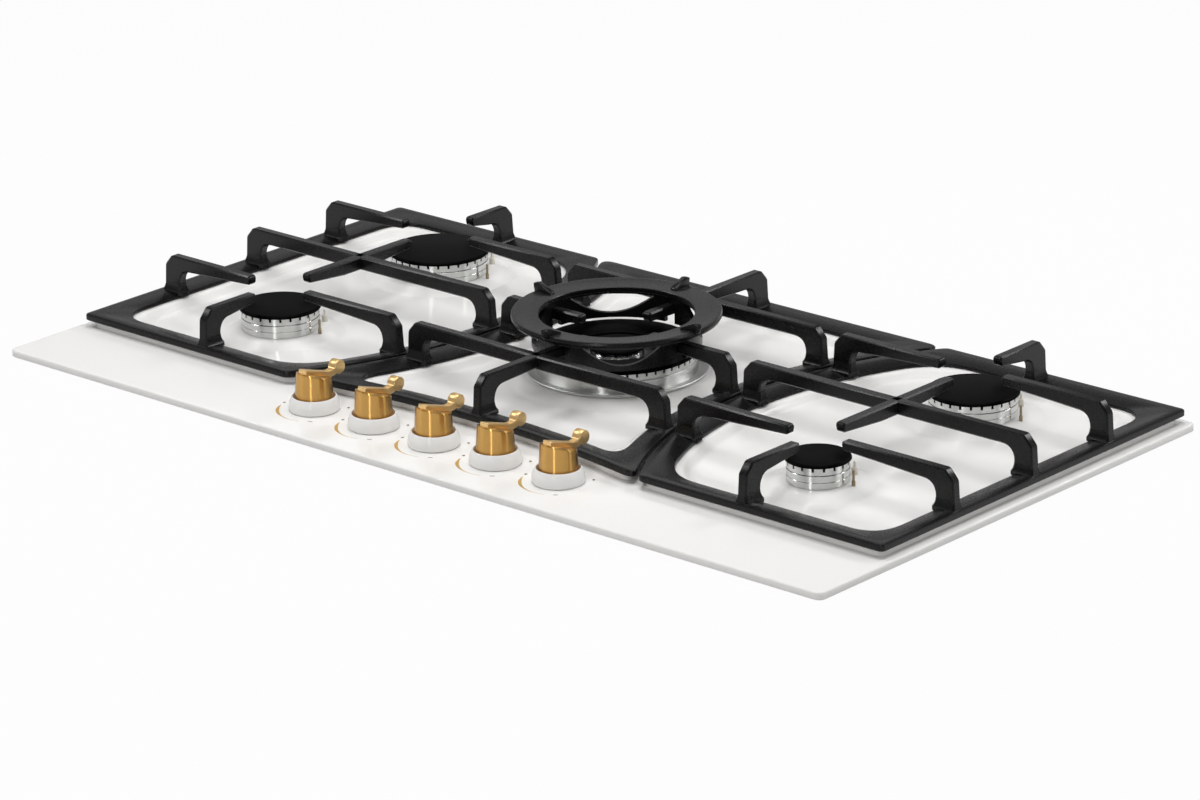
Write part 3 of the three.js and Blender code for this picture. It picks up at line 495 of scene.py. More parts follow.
# %% Lamps
def softbox(name, place, size, watts):
    lamp = bpy.data.lights.new(name, "AREA")
    lamp.shape, lamp.size, lamp.size_y, lamp.energy = "RECTANGLE", *size, watts
    made = bpy.data.objects.new(name, lamp)
    bpy.context.scene.collection.objects.link(made)
    made.location = place
    made.rotation_euler = Vector(place).to_track_quat("Z", "Y").to_euler()


# The main light, close to overhead: the plate stays an even white just below clipping.
softbox("softbox_overhead", (0.0, 0.1, 2.6), (2.0, 1.7), 41)
# Two side lights lift the folded edges of the plate, which face away from the main light.
softbox("softbox_edges_left", (-1.58, -0.84, 1.75), (0.7, 0.45), 13)
softbox("softbox_edges_rear", (0.84, 1.76, 1.57), (0.6, 0.4), 11)
# Low and behind, where the camera sees it mirrored: a grey sheen on the tops of the iron.
softbox("softbox_rear_sheen", (-1.75, 1.85, 1.6), (1.6, 0.5), 2.8)
# A narrow strip makes the thin streak on turned metal and a wider one makes the soft band.
softbox("strip_front", (0.68, -1.97, 0.97), (0.09, 1.3), 9)
softbox("strip_right", (1.87, 0.91, 0.97), (0.4, 1.3), 6.5)
print("lamps:", len(bpy.data.lights))

# %% [markdown]
# The room around is white, brighter at the horizon than overhead. Metal mirrors it, so in
# a black room the brass and the crowns would be black between the lamps. It is one smooth
# ramp and no picture of a room, because nothing in it should be seen as a shape.

# %% World
world = bpy.data.worlds.new("studio")
bpy.context.scene.world = world
world.use_nodes = True
sky = world.node_tree
direction = add_node(sky, "ShaderNodeTexCoord").outputs["Generated"]
height = add_node(sky, "ShaderNodeSeparateXYZ", {0: direction}).outputs["Z"]
fade = add_node(sky, "ShaderNodeMapRange", {"Value": height},
                {"From Min": 0.1, "From Max": 0.6, "To Min": 0.4, "To Max": 0.14})
sky.links.new(fade.outputs[0], sky.nodes["Background"].inputs["Strength"])
sky.nodes["Background"].inputs["Color"].default_value = (1, 1, 1, 1)
bpy.context.scene.view_settings.view_transform = "Standard"
print("world:", world.name, "seen through", bpy.context.scene.view_settings.view_transform)

# %% [markdown]
# ## Outlines of the grates
# Three grates cover the plate. They meet along two large arcs, and the front edge of the
# centre one bows back to leave room for the knobs. The outlines could be drawn three times,
# but the seams have to match, so both sides of a seam come from the same arc.

# %% Sizes of the grates
GRATE_W, GRATE_D, REAR_MARGIN = 886.0, 397.0, 6
GRATE_REAR = PLATE[1] / 2 - REAR_MARGIN
GRATE_FRONT = GRATE_REAR - GRATE_D
GRATE_CY = (GRATE_FRONT + GRATE_REAR) / 2
SEAM_MID, SEAM_END, SEAM_GAP = 135.5, 195.0, 3.0    # from the middle of the plate, and the gap
FRONT_DIP = 20.0    # how far the front edge of the centre grate bows back
FRAME_W, FRAME_T, FRAME_TOP = 22.0, 6.0, TOP + 12


def arc_radius(half_chord, height):
    return (half_chord ** 2 + height ** 2) / (2 * height)


SEAM_R = arc_radius(GRATE_D / 2, SEAM_END - SEAM_MID)
SEAM_CX = SEAM_MID + SEAM_R
DIP_R = arc_radius(SEAM_END, FRONT_DIP)
DIP_CY = GRATE_FRONT + FRONT_DIP - DIP_R
print("seam radius", round(SEAM_R, 1), "mm, front radius", round(DIP_R, 1), "mm")

# %% [markdown]
# `outline` gives a grate's edge moved inwards by any distance, always with the same number
# of points. So outlines at different heights can be lofted, both into the iron frame and
# into the bead that is pressed into the plate below it.

# %% Edges of a grate
def seam_x(y, clear):
    return SEAM_CX - math.sqrt((SEAM_R + clear) ** 2 - (y - GRATE_CY) ** 2)


def side_x(kind, side, y, inset):
    """X of the left (-1) or right (1) edge of a grate."""
    clear = SEAM_GAP / 2 + inset
    if kind == "centre":
        return side * seam_x(y, clear)
    outer = -1 if kind == "left" else 1
    return outer * (GRATE_W / 2 - inset) if side == outer else -side * seam_x(y, -clear)


def front_y(kind, x, inset):
    if kind != "centre":
        return GRATE_FRONT + inset
    return DIP_CY + math.sqrt((DIP_R + inset) ** 2 - x ** 2)


print("the centre grate is", round(2 * side_x("centre", 1, GRATE_CY, 0)),
      "mm wide at its middle and", round(2 * side_x("centre", 1, GRATE_FRONT, 0)), "at its front")

# %% The whole outline
def spaced(start, end, steps=28):
    return [start + i / steps * (end - start) for i in range(steps + 1)]


CORNER_OF = {"left": 4.0, "centre": 15.0, "right": 4.0}
INNER_CORNER = 30.0    # the corners get rounder towards the inside of the frame


def outline(kind, inset, z, bend=8):
    """Four sides, each followed by the round of its corner."""
    corner = CORNER_OF[kind] + (INNER_CORNER - CORNER_OF[kind]) * min(inset / FRAME_W, 1)
    rear = GRATE_REAR - inset
    front = front_y(kind, side_x(kind, 1, GRATE_FRONT, inset), inset)
    front_left, front_right = [side_x(kind, side, front + 0.01, inset) for side in (-1, 1)]
    rear_left, rear_right = [side_x(kind, side, rear, inset) for side in (-1, 1)]
    ys = spaced(front + corner, rear - corner)
    sides = [[(x, front_y(kind, x, inset))
              for x in spaced(front_left + corner, front_right - corner)],
             [(side_x(kind, 1, y, inset), y) for y in ys],
             [(x, rear) for x in spaced(rear_right - corner, rear_left + corner)],
             [(side_x(kind, -1, y, inset), y) for y in reversed(ys)]]
    corners = [(front_right, front), (rear_right, rear), (rear_left, rear), (front_left, front)]
    flat = []
    for side, tip, following in zip(sides, corners, sides[1:] + sides[:1]):
        flat += side + curve(side[-1], tip, following[0], bend)[:-1]
    return [(x, y, z) for x, y in flat]


print("points in an outline:", len(outline("centre", 0, FRAME_TOP)))

# %% [markdown]
# ## Where the burners stand
# Four round burners of different power stand in two rows, and the wok burner stands in the
# middle of the grates. The fingers of a grate end above the rim of each lid. Their lengths
# could be typed in one by one, but all fingers of a burner end equally far from its middle,
# so that distance, `tip`, is kept with the burner.

# %% Burners
Burner = namedtuple("Burner", "x y radius slots tip")    # `radius` is the lid's
FRONT_Y, REAR_Y = GRATE_CY - 100.5, GRATE_CY + 100.5
BURNERS = {
    "front_left": Burner(-300.0, FRONT_Y, 35.5, 24, 32),
    "rear_left": Burner(-300.0, REAR_Y, 45.0, 30, 39),
    "rear_right": Burner(300.0, REAR_Y, 38.5, 26, 31),
    "front_right": Burner(300.0, FRONT_Y, 27.0, 18, 27),
}
WOK_TIP, WOK_BOSS = 37, 80    # finger tips and boss, from the middle of the wok burner
print("burner rows at", FRONT_Y, "and", REAR_Y, "mm")

# %% [markdown]
# ## Top plate
# One sheet of steel with a folded edge, pressed and then enamelled. A bead runs under each
# grate and a boss rises under each burner, so spilled liquid stays away from them. A height
# map could press them out of a flat sheet, but their edges would need a very fine mesh, so
# sheet, beads and bosses are lofted from their sections.

# %% Sheet and beads
PLATE_SECTION = [    # (distance in from the edge, height)
    (0.6, -PLATE_EDGE), (0, -PLATE_EDGE + 0.6), (0, -1.6), (0.25, -0.8), (0.8, -0.25), (1.6, 0)]
BEAD_SECTION = [    # (distance in from the grate's edge, height)
    (4.6, -0.5), (4.6, 0.1), (4.9, 3.6), (5.4, 4.9), (6.8, 5.6), (9, 5.7), (24, 5.7),
    (26.5, 5.4), (29, 3.6), (31.5, 1.2), (33.5, 0.25), (36, -0.1), (36, -0.5)]


def rounded_rect(width, depth, radius, z, bend=10):
    across, along = width / 2 - radius, depth / 2 - radius
    corners = [(across, -along, -90), (across, along, 0), (-across, along, 90),
               (-across, -along, 180)]
    return [(cx + radius * math.cos(math.radians(a + 90 * k / bend)),
             cy + radius * math.sin(math.radians(a + 90 * k / bend)), z)
            for cx, cy, a in corners for k in range(bend + 1)]


def sheet():
    rings = [rounded_rect(PLATE[0] - 2 * i, PLATE[1] - 2 * i, PLATE_CORNER - i, TOP + z)
             for i, z in PLATE_SECTION]
    return loft("sheet", rings, caps=True)


def bead(kind):
    return loft("bead", [outline(kind, i, TOP + z) for i, z in BEAD_SECTION], closed=True)


print("beads rise", max(z for _, z in BEAD_SECTION), "mm above the sheet")

# %% Bosses and the whole plate
BOSS_SLOPE, BOSS_H, BOSS_MARGIN = 18, 4, 3
LIFT = 0.02    # keeps the foot of a boss from lying in the sheet's own surface


def boss(x, y, radius):
    """Its side rises softly, flat at the foot and flat again at the top."""
    slope = [(radius + BOSS_SLOPE * t, TOP + BOSS_H * (1 - t * t * (3 - 2 * t)) + LIFT)
             for t in [1 - i / 10 for i in range(11)]]
    section = [(radius + BOSS_SLOPE, TOP - 0.5)] + slope + [(1, TOP + BOSS_H + LIFT)]
    return turned("boss", section, x, y)


parts = [sheet()] + [bead(kind) for kind in ("left", "centre", "right")]
parts.append(boss(0, GRATE_CY, WOK_BOSS))
parts += [boss(b.x, b.y, b.radius + BOSS_MARGIN) for b in BURNERS.values()]
print("plate made of", len(parts), "pressed parts")
dress(join(parts, "plate_enamelled"), white_enamel, "top_plate", angle=50)

# %% [markdown]
# ## Grates
# Each grate is one iron casting: a flat frame whose inner part slopes down, and bars that
# stand on legs. A bar could be swept along a bent line, but the leg, the round under it and
# the chamfered shoulder above it differ in thickness, and all of them show from the side.
# So the side view of a bar is drawn and given a thickness.

# %% Side view of a bar
FINGER_TOP, FINGER_W, FINGER_DEPTH = TOP + 44, 9.0, 12.0
FINGER_UNDER = FINGER_TOP - FINGER_DEPTH
LEG_FOOT = FRAME_TOP - FRAME_T + 0.8    # sunk into the frame, short of its underside
LEG_W, LEG_LEAN = 19.5, 2
HEEL_W, HEEL_H = 23, 9    # the leg is wider where it meets the frame
SHOULDER_IN, SHOULDER_DROP = 10.1, 9    # the chamfer at the outer top corner
UNDER_ROUND = 13    # where the leg runs into the bar
BAR_EDGE = 1.3


def bar_tip(end):
    """The free end: rounded on top and cut back below."""
    line = [(end - 3, FINGER_TOP)]
    line += curve(line[-1], (end, FINGER_TOP), (end, FINGER_TOP - 3.5), 4)
    return line + [(end - 1, FINGER_TOP - 8)]


def bar_outline(length, both_ends):
    outside = [(0, LEG_FOOT), (LEG_LEAN, FINGER_TOP - SHOULDER_DROP), (SHOULDER_IN, FINGER_TOP)]
    inside = [(LEG_W + UNDER_ROUND, FINGER_UNDER)]
    inside += curve(inside[-1], (LEG_W, FINGER_UNDER), (LEG_W, FINGER_UNDER - UNDER_ROUND))
    inside += [(LEG_W, LEG_FOOT + HEEL_H), (HEEL_W, LEG_FOOT)]
    if both_ends:
        far_end = [(length - a, z) for a, z in reversed(inside + outside)]
    else:
        far_end = bar_tip(length)
    return outside + far_end + inside


def bar(start, end, both_ends):
    across, along = end[0] - start[0], end[1] - start[1]
    return upright("bar", bar_outline(math.hypot(across, along), both_ends), FINGER_W,
                   *start, math.atan2(along, across), BAR_EDGE, 1)


print("a bar stands", FINGER_TOP - FRAME_TOP, "mm above its frame")

# %% [markdown]
# Molten iron doesn't fill sharp inner corners well, so the pattern maker spreads each leg
# where it runs into the frame. A modifier can't round the corner between two pieces that
# only cross, so the spread foot is a loft of eight-cornered rings that shrink upwards.

# %% Feet of the legs
FOOT_RINGS = [    # (outer end, inner end, half width, height above the frame)
    (-0.5, 21.5, 7.2, -3), (-0.5, 21.5, 7.2, -0.4), (-0.3, 21, 6.3, 0.7),
    (0.1, 20.4, 5.5, 2.3), (0.7, 20, 4.9, 4.8), (1.3, 19.7, 4.4, 8)]


def foot(start, end):
    rings = []
    for low, high, half, z in FOOT_RINGS:
        cut_off = min(1.6, half / 3)
        ring = [(low + cut_off, -half), (high - cut_off, -half), (high, -half + cut_off),
                (high, half - cut_off), (high - cut_off, half), (low + cut_off, half),
                (low, half - cut_off), (low, -half + cut_off)]
        rings.append(placed([(a, b, FRAME_TOP + z) for a, b in ring], *start,
                            math.atan2(end[1] - start[1], end[0] - start[0])))
    return loft("foot", rings, caps=True)


def support(start, end, both_ends=False):
    feet = [foot(start, end)]
    if both_ends:
        feet.append(foot(end, start))
    return [bar(start, end, both_ends)] + feet


print("a foot spreads over", 2 * FOOT_RINGS[0][2], "mm")

# %% [markdown]
# A side grate has one long bar from seam to wall, three fingers for each of its burners and
# a free spar between them. The centre grate has two long bars and four fingers around the
# wok burner. Melting the parts into one skin would need a boolean at every crossing. They
# are the same black iron, so no join shows, and they are simply left to overlap.

# %% Frames and spars
FRAME_SECTION = [    # (distance in from the edge, height)
    (0.8, -6), (0, -5.2), (0, -1.2), (0.35, -0.35), (1.2, 0), (7, 0), (7.8, -0.15),
    (20.6, -2.65), (21.7, -3.2), (22, -3.8), (22, -5.2), (21.2, -6)]
FOOT_INSET = 3
FOOT_FRONT, FOOT_REAR = GRATE_FRONT + FOOT_INSET, GRATE_REAR - FOOT_INSET
FOOT_WALL = GRATE_W / 2 - FOOT_INSET


def grate_frame(kind):
    return loft("frame", [outline(kind, i, FRAME_TOP + z) for i, z in FRAME_SECTION], closed=True)


def spar(x, start, end):
    right_half = bar_tip((end - start) / 2) + [((end - start) / 2 * 0.3, FINGER_UNDER)]
    left_half = [(-a, z) for a, z in reversed(right_half)]
    return upright("spar", right_half + left_half, FINGER_W, x, (start + end) / 2, math.pi / 2,
                   BAR_EDGE, 1)


print("frames are", FRAME_W, "mm wide and", FRAME_T, "mm thick")

# %% The two side grates
def side_grate(kind):
    side = -1 if kind == "left" else 1

    def seam(y):
        return side * seam_x(y, -SEAM_GAP / 2 - FOOT_INSET)

    own = [b for b in BURNERS.values() if b.x * side > 0]
    parts = [grate_frame(kind)]
    parts += support((seam(GRATE_CY), GRATE_CY), (side * FOOT_WALL, GRATE_CY), True)
    for b in own:
        edge, way = (FOOT_FRONT, -1) if b.y < GRATE_CY else (FOOT_REAR, 1)
        parts += support((b.x, edge), (b.x, b.y + way * b.tip))
        parts += support((side * FOOT_WALL, b.y), (b.x + side * b.tip, b.y))
        parts += support((seam(b.y), b.y), (b.x - side * b.tip, b.y))
    front, rear = sorted(own, key=lambda b: b.y)
    return join(parts + [spar(front.x, front.y + front.tip, rear.y - rear.tip)], "casting_" + kind)


for kind in ("left", "right"):
    made = dress(side_grate(kind), cast_iron, "grate_" + kind)
    print(made.name, "has", len(made.data.polygons), "faces")

# %% The centre grate
def centre_grate():
    def seam(y):
        return seam_x(y, SEAM_GAP / 2 + FOOT_INSET)

    parts = [grate_frame("centre")]
    for y in (FRONT_Y, REAR_Y):
        parts += support((-seam(y), y), (seam(y), y), True)
    for side, edge in ((-1, FOOT_FRONT + FRONT_DIP), (1, FOOT_REAR)):
        parts += support((0, edge), (0, GRATE_CY + side * WOK_TIP))
        parts += support((side * seam(GRATE_CY), GRATE_CY), (side * WOK_TIP, GRATE_CY))
    return join(parts, "casting_centre")


made = dress(centre_grate(), cast_iron, "grate_centre")
print(made.name, "has", len(made.data.polygons), "faces")

# %% [markdown]
# ## Wok ring
# A loose casting that carries a round wok: a flange with a rolled rim, a skirt below it
# with notches that sit over the fingers of the centre grate, four windows that let air in
# to the flame and four small fins. It could be built up from legs under a flange, but it is
# round in one piece, so it is turned first and then cut open, as its pattern is.

# %% Sections of the wok ring
RING_TOP, RING_UNDER, RING_LOW = TOP + 56.5, TOP + 50.5, TOP + 27
SKIRT_IN, SKIRT_OUT, RIM_R = 68, 72, 89
RING_SECTION = [
    (66, RING_UNDER), (SKIRT_IN, RING_UNDER - 1), (SKIRT_IN, RING_LOW), (SKIRT_OUT, RING_LOW),
    (SKIRT_OUT, RING_UNDER), (86.5, RING_UNDER), (88.2, RING_UNDER + 0.4),
    (RIM_R, RING_UNDER + 1.8), (RIM_R, RING_TOP - 1.8), (88.2, RING_TOP - 0.5),
    (86.5, RING_TOP), (84.6, RING_TOP - 0.5), (66.5, RING_TOP - 2), (66, RING_TOP - 2.5)]
FIN_OUTLINE = [
    (71, RING_TOP - 3), (73, RING_TOP + 0.5), (87, RING_TOP + 6.5), (92, RING_TOP + 5.5),
    (91, RING_TOP - 2), (86, RING_TOP - 4)]
print("the ring stands", RING_TOP - FINGER_TOP, "mm above the fingers")

# %% Notches and windows
WINDOW_HALF, WINDOW_TOP, WINDOW_LOW = 36, TOP + 48, TOP + 31
NOTCH_CLEAR, NOTCH_REST = 1, 0.3    # beside a finger and on top of it
INSIDE_SKIRT, BEYOND_SKIRT = 42, SKIRT_OUT + 5    # a knife starts and ends clear of the skirt


def notch(angle):
    return block("notch", WOK_TIP, BEYOND_SKIRT, FINGER_W / 2 + NOTCH_CLEAR, RING_LOW - 5,
                 FINGER_TOP + NOTCH_REST, 0, GRATE_CY, angle)


def window(angle):
    """Straight on top, with a lower edge that hangs in a curve."""
    edge = [(-WINDOW_HALF, WINDOW_TOP)]
    edge += curve(edge[-1], (-WINDOW_HALF / 2, WINDOW_LOW), (0, WINDOW_LOW), 8)
    edge += curve(edge[-1], (WINDOW_HALF / 2, WINDOW_LOW), (WINDOW_HALF, WINDOW_TOP), 8)
    rings = [placed([(r, a, z) for a, z in edge], 0, GRATE_CY, angle)
             for r in (INSIDE_SKIRT, BEYOND_SKIRT)]
    return loft("window", rings, caps=True)


print("windows are", 2 * WINDOW_HALF, "mm wide and", WINDOW_TOP - WINDOW_LOW, "mm high")

# %% Wok ring
FIN_T = 6
ring = turned("wok_ring_cast", RING_SECTION, 0, GRATE_CY, closed=True, around=128)
fins = []
for angle in turns(4):
    ring = cut(cut(ring, notch(angle)), window(angle + math.pi / 4))
    fins.append(upright("fin", FIN_OUTLINE, FIN_T, 0, GRATE_CY, angle, 1.1))
dress(join([ring] + fins, "wok_ring_cast"), cast_iron, "wok_ring")
print("wok ring made,", 2 * RIM_R, "mm across")

# %% [markdown]
# ## Round burners
# A burner is three loose pieces: a cup that mixes gas and air, a slotted crown on it and an
# enamelled lid. The slots let the gas out in separate flames. Dark stripes painted on the
# crown could stand for them, but real ones are open at the top and show their walls, so the
# crown is turned and every slot is cut.

# %% Burner parts
CUP_LOW, SEATED, GROOVE, CUP_TOP = TOP - 30, TOP + 4.3, TOP + 9.9, TOP + 15.5
CROWN_TOP = TOP + 22
SEATED_GAP = 0.3    # between two pieces that rest on each other
CROWN_WALL, CROWN_FLOOR = 4.0, 1.6
SLOT_W, SLOT_DEPTH, OVERCUT = 2, 3, 1    # a blade reaches past the metal by OVERCUT
LID_T = 2.8


def slotted(name, radius, bore, floor, top, count, x, y, shoulder=0.3):
    wall_in = radius - CROWN_WALL
    section = [(bore, floor), (radius - 0.4, floor), (radius, floor + 0.4),
               (radius, top - shoulder), (radius - shoulder, top), (wall_in, top),
               (wall_in, floor + CROWN_FLOOR), (bore, floor + CROWN_FLOOR)]
    blades = [block("blade", wall_in - OVERCUT, radius + OVERCUT, SLOT_W / 2, top - SLOT_DEPTH,
                    top + OVERCUT, x, y, angle) for angle in turns(count)]
    return cut(turned(name, section, x, y, closed=True), join(blades, "blades"))


def lid(name, radius, top, x, y):
    """A short neck drops into the crown, and the upper edge is chamfered."""
    z = top + SEATED_GAP
    return turned(name, [(radius - 7, top - 1.5), (radius - 7, z), (radius - 0.3, z),
                         (radius, z + 0.3), (radius, z + 1.3), (radius - 0.15, z + 1.55),
                         (radius - 1.3, z + 2.68), (radius - 1.7, z + LID_T),
                         (1, z + LID_T)], x, y)


def cup(name, radius, neck, x, y):
    """A groove runs around the middle of its wall, and its neck goes down through the plate."""
    return turned(name, [(neck, CUP_LOW), (neck, SEATED), (radius - 0.3, SEATED),
                         (radius, SEATED + 0.3), (radius, GROOVE - 0.3), (radius - 0.25, GROOVE),
                         (radius, GROOVE + 0.3), (radius, CUP_TOP - 0.3),
                         (radius - 0.3, CUP_TOP)], x, y)


print("a slot is", SLOT_W, "mm wide and", SLOT_DEPTH, "mm deep")

# %% Four round burners
LID_OVERHANG, NECK_SHARE, NECK_WALL = 1.5, 0.55, 5
for name, b in BURNERS.items():
    crown_r, neck_r = b.radius - LID_OVERHANG, b.radius * NECK_SHARE
    dress(cup("cup_" + name, crown_r, neck_r, b.x, b.y), turned_aluminium,
          "burner_cup_" + name)
    crown = slotted("crown_" + name, crown_r, neck_r - NECK_WALL, CUP_TOP + SEATED_GAP, CROWN_TOP,
                    b.slots, b.x, b.y)
    dress(crown, turned_aluminium, "burner_crown_" + name)
    dress(lid("lid_" + name, b.radius, CROWN_TOP, b.x, b.y), cap_enamel,
          "burner_cap_" + name)
    print(name, "burner:", b.slots, "slots,", 2 * b.radius, "mm lid")

# %% [markdown]
# ## Wok burner
# The strongest burner has two rings of flame: a wide slotted crown under a ring-shaped lid,
# and a small crown with a sloping shoulder under a round lid. Its cup has a shallow dish
# around it. Only the wall of the cup is turned, and the dish keeps the grey skin of the
# die. Two objects would do, but they are one casting, so the cup carries both finishes and
# every face picks one by its slope and its height.

# %% Cup of the wok burner
WOK_R, DISH_R = 68.5, 78
WOK_CUP_SECTION = [
    (40, CUP_LOW), (40, SEATED), (76, SEATED), (77.4, SEATED + 1), (DISH_R, SEATED + 2.6),
    (77.6, SEATED + 3), (76, SEATED + 3), (71.5, SEATED + 1.3), (WOK_R, SEATED + 1.2),
    (WOK_R, CUP_TOP - 0.3), (68.2, CUP_TOP)]
LEVEL_FACE = 0.3    # a face that leans more than this towards level counts as dish

dish = dress(turned("cup_wok", WOK_CUP_SECTION, 0, GRATE_CY, around=128), turned_aluminium,
             "burner_cup_wok").data
dish.materials.append(cast_aluminium)
for face in dish.polygons:
    face.material_index = int(abs(face.normal.z) > LEVEL_FACE or face.center.z < (SEATED + 3) * MM)
print("faces with the die's skin:", sum(face.material_index for face in dish.polygons))

# %% Crowns and lids of the wok burner
INNER_TOP = CROWN_TOP + 2    # the small crown stands above the wide one
INNER_R, INNER_LID_R, INNER_SHOULDER = 23, 24.5, 2.8
OUTER_SLOTS, INNER_SLOTS = 52, 14
OUTER_BORE, INNER_BORE = 19, 12
RING_LID_SECTION = [    # (radius, height above the crown's rest)
    (37, 0), (69.7, 0), (70, 0.3), (70, 1.3), (68.7, 2.7), (68.3, LID_T), (38.7, LID_T),
    (38.3, 2.7), (37, 1.4)]

crowns = [slotted("outer", WOK_R, OUTER_BORE, CUP_TOP + SEATED_GAP, CROWN_TOP, OUTER_SLOTS,
                  0, GRATE_CY),
          slotted("inner", INNER_R, INNER_BORE, CUP_TOP + SEATED_GAP, INNER_TOP, INNER_SLOTS,
                  0, GRATE_CY, INNER_SHOULDER)]
dress(join(crowns, "crown_wok"), turned_aluminium, "burner_crown_wok")
ring_lid = turned("ring_lid_wok", [(r, CROWN_TOP + SEATED_GAP + z) for r, z in RING_LID_SECTION],
                  0, GRATE_CY, closed=True, around=128)
dress(ring_lid, cap_enamel, "burner_ring_cap_wok")
dress(lid("lid_wok", INNER_LID_R, INNER_TOP, 0, GRATE_CY), cap_enamel,
      "burner_cap_wok")
print("wok burner made, dish", 2 * DISH_R, "mm across")

# %% [markdown]
# ## Spark plugs and thermocouples
# A ceramic plug with a thin steel pin lights the gas. A thermocouple, a brass pin that the
# flame heats, keeps the gas on. Both are small turned pieces and need only a few points.
# The pieces are called by the first five letters, spark and therm.

# %% Pins
PIN_R, ELECTRODE, THERMOCOUPLE_TOP = 1, 5, TOP + 8.5    # thick up to here, thin above
for burner in list(BURNERS) + ["wok"]:
    for kind, radius, material, slot in (("spark_plug_", 2.5, ceramic, "ceramic"),
                                         ("thermocouple_", 1.5, dulled_brass, "tap_brass")):
        low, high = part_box(kind + burner)
        x, y = (low.x + high.x) / 2 / MM, (low.y + high.y) / 2 / MM
        bottom, top = low.z / MM, high.z / MM
        body = top - ELECTRODE if kind == "spark_plug_" else THERMOCOUPLE_TOP
        section = [(radius, bottom), (radius, body - 0.5), (radius - 0.4, body), (PIN_R, body),
                   (PIN_R, top - 0.4), (0.6, top)]
        dress(turned(kind[:5] + "_" + burner, section, x, y, around=24), material,
              kind + burner)
print("pins:", 2 * (len(BURNERS) + 1))

# %% [markdown]
# ## Knobs
# A turned brass shank with a sloping top sits in a domed white collar. A cylinder cut by a
# plane would come close, but the real shank tapers and its upper rim is rounded, so it is
# lofted from rings, each of which follows the slope.

# %% Shanks of the knobs
KNOB_PITCH, KNOB_Y = 68.0, -187.0
KNOB_XS = [KNOB_PITCH * k for k in range(-2, 3)]
KNOB_BASE, KNOB_MID, SLOPE = TOP + 4, TOP + 30, math.tan(math.radians(17))
SHANK_R, SHANK_TOP_R = 16.4, 14.8
TAPER, TAPER_FROM, TAPER_H = 2.4, TOP + 13.5, 24.5    # it narrows by 2.4 mm over 24.5 mm
SHANK_RIM = ((0, 2.0), (0, 0.5), (0.15, 0.15), (0.5, 0))    # (distance in, distance down)


def shank(name, x, around=96):
    rings = [circle(x, KNOB_Y, SHANK_R, KNOB_BASE, around)]
    for inset, drop in SHANK_RIM:
        ring = []
        for a in turns(around):
            height = KNOB_MID - (SHANK_TOP_R - inset) * math.sin(a) * SLOPE - drop
            radius = SHANK_R - TAPER * max(0, height - TAPER_FROM) / TAPER_H - inset
            ring.append((x + radius * math.cos(a), KNOB_Y + radius * math.sin(a), height))
        rings.append(ring)
    return loft(name, rings, caps=True)


print("knobs at", KNOB_XS, "mm")

# %% [markdown]
# The lever lies along the slope and is the pointer of the knob. It is widest at its nose,
# thin at the neck and ends in a round like a coin standing on edge. It could be sculpted,
# but two drawn views are easier to measure and to change. So the side view is made upright,
# and then every point is moved sideways to the width that the lever has there.

# %% Levers of the knobs
LEVER_BLANK = 11.4    # the thickness before the widths are given
LEVER_WIDTHS = [    # (distance from the knob's axis, width)
    (-13, 8.0), (-9.5, 10.8), (-4, 10.6), (6, 7.6), (15, 5.4), (20, 5.6), (21.6, 8.4), (34, 8.4)]
COIN_Y, COIN_Z, COIN_R = 27.3, KNOB_MID + 0.5, 5.9


def between(rows, at):
    """Read the value at a place between two rows of (place, value)."""
    at = max(at, rows[0][0])
    k = max(i for i, (place, _) in enumerate(rows[:-1]) if place <= at)
    (a, low), (b, high) = rows[k:k + 2]
    return low + (high - low) * (at - a) / (b - a)


def lever_outline():
    def slope_z(y):
        return KNOB_MID - y * SLOPE

    line = [(-13, slope_z(-13) - 3), (-13, slope_z(-13) + 2.5)]
    line += curve(line[-1], (-13, slope_z(-13) + 4), (-11, slope_z(-11) + 4), 4)
    line += [(12, slope_z(12) + 4)]
    line += curve(line[-1], (17.5, slope_z(15) + 3), (21.3, COIN_Z + 0.5))
    line += [(COIN_Y + COIN_R * math.cos(math.radians(a)),
              COIN_Z + COIN_R * math.sin(math.radians(a))) for a in range(165, -136, -15)]
    return line + curve(line[-1], (20.5, slope_z(20) - 0.4), (13, slope_z(13) - 3))


def lever(name, x):
    made = upright(name, lever_outline(), LEVER_BLANK, x, KNOB_Y, math.pi / 2, 0.9)
    for vertex in made.data.vertices:
        width = between(LEVER_WIDTHS, vertex.co.y / MM - KNOB_Y)
        vertex.co.x = x * MM + (vertex.co.x - x * MM) * width / LEVER_BLANK
    return made


print("the coin's top is", round(COIN_Z + COIN_R - TOP, 1), "mm above the plate")

# %% Knobs and collars
COLLAR_SECTION = [    # (radius, height above the plate)
    (17.7, 0.3), (20.6, 0.3), (21.3, 0.8), (21.7, 2.2), (21.65, 4.3), (21.2, 6.8), (20.3, 9.2),
    (19.3, 11.1), (18.6, 12.2), (18.1, 12.5), (17.85, 12.3), (17.7, 11.9)]
for number, x in enumerate(KNOB_XS, 1):
    dress(shank(f"knob_turned_{number}", x), gold_brass, f"knob_{number}")
    dress(lever(f"knob_lever_{number}", x), lever_brass_painted_lit, body=f"knob_{number}")
    collar = turned(f"collar_domed_{number}", [(r, TOP + z) for r, z in COLLAR_SECTION], x, KNOB_Y,
                    closed=True)
    dress(collar, white_enamel, f"knob_collar_{number}", angle=60)
print("knobs made:", number)

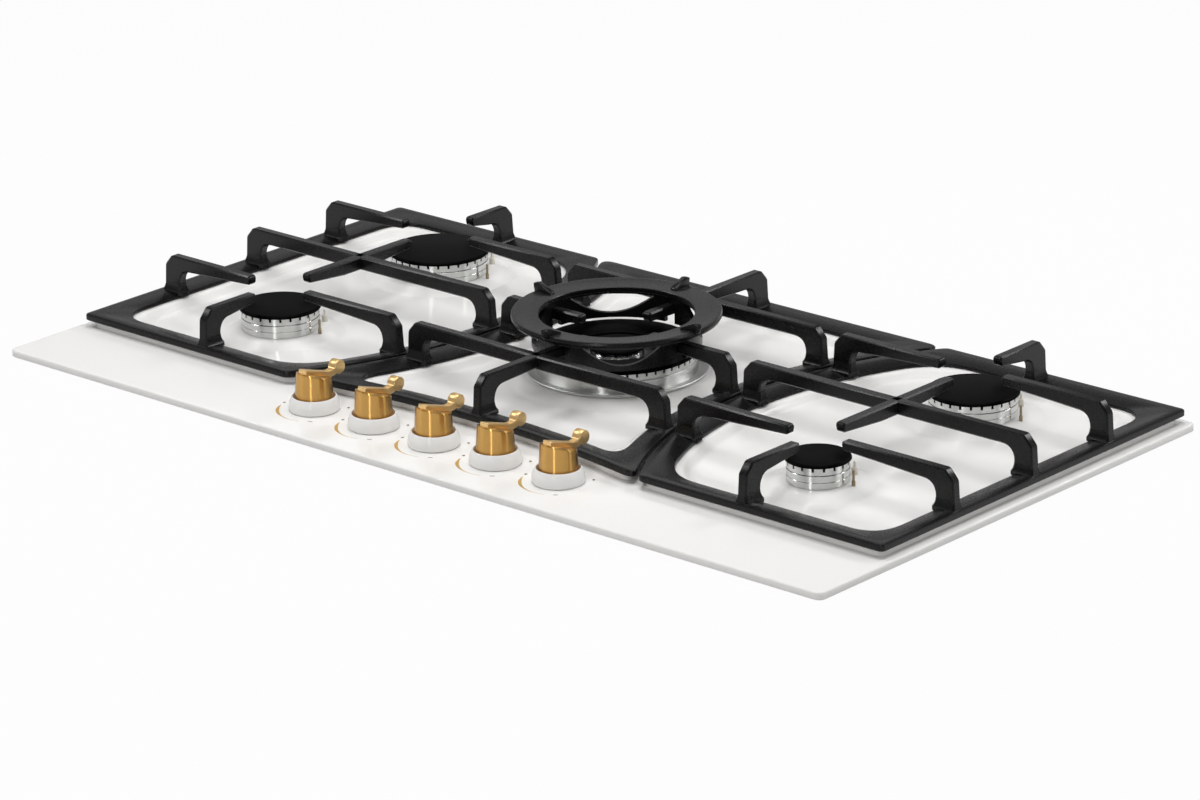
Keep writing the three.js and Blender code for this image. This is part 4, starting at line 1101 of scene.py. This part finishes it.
# %% [markdown]
# ## Dial marks
# A gold crescent beside each knob thins towards the small flame, and brown marks stand at
# off, full and small. On the real plate they are fired ink. A picture laid on the plate
# would need fine pixels, while thin strips are sharp at any distance, so each mark is a
# strip that stands 0.06 mm proud of the plate.

# %% Dial marks
INK_LOW, INK_HIGH = 0.01, 0.06
GOLD_MARKS = [    # (radius, start and end in degrees, widths along the way, steps)
    (31, -161, -70, (0.6, 3.0, 2.6, 1.1, 0.5, 0.3), 30), (28, 36, 42, (0.3, 0.3), 4)]
BROWN_MARKS = [
    (31.7, -175, -170, (1.6, 2.6, 1.6), 4), (30.7, -56, -49, (1.2, 1.2), 4),
    (28, 43, 49, (1.6, 2.4, 1.6), 4)]


def ink_line(x, radius, start, end, widths, steps):
    """A line fired along a circle around the knob."""
    rings = []
    for i in range(steps + 1):
        half = between(list(enumerate(widths)), i / steps * (len(widths) - 1)) / 2
        section = ((-half, INK_LOW), (half, INK_LOW), (half, INK_HIGH), (-half, INK_HIGH))
        a = math.radians(start + (end - start) * i / steps)
        rings.append([(x + (radius + w) * math.cos(a), KNOB_Y + (radius + w) * math.sin(a), TOP + h)
                      for w, h in section])
    return loft("ink", rings, caps=True)


for number, x in enumerate(KNOB_XS, 1):
    for name, marks, ink in (("dial_line", GOLD_MARKS, gold_ink),
                             ("dial_marks", BROWN_MARKS, dark_ink)):
        made = join([ink_line(x, *mark) for mark in marks], f"{name}_{number}")
        dress(made, ink, body="cooktop")
print("marks at each knob:", len(GOLD_MARKS) + len(BROWN_MARKS))

# %% [markdown]
# ## Pieces under the plate
# The seal, box, rail, taps and clamps are extruded, bent and machined parts, and the solids
# already have their plain forms. Rebuilding them would add nothing that shows, so they keep
# their meshes and only get a finish.

# %% Hidden pieces
FINISH_OF = {"seal_rubber": rubber, "galvanised_steel": zinc, "tap_brass": raw_brass,
             "module_plastic": plastic}
for row in frame["record"]["subparts"]:
    node = NODES[row["node"]]
    if node.hide_render:
        continue
    node.data.materials.clear()
    node.data.materials.append(FINISH_OF[row["material_slot"]])
print("kept solids:", sum(not node.hide_render for node in NODES.values()))
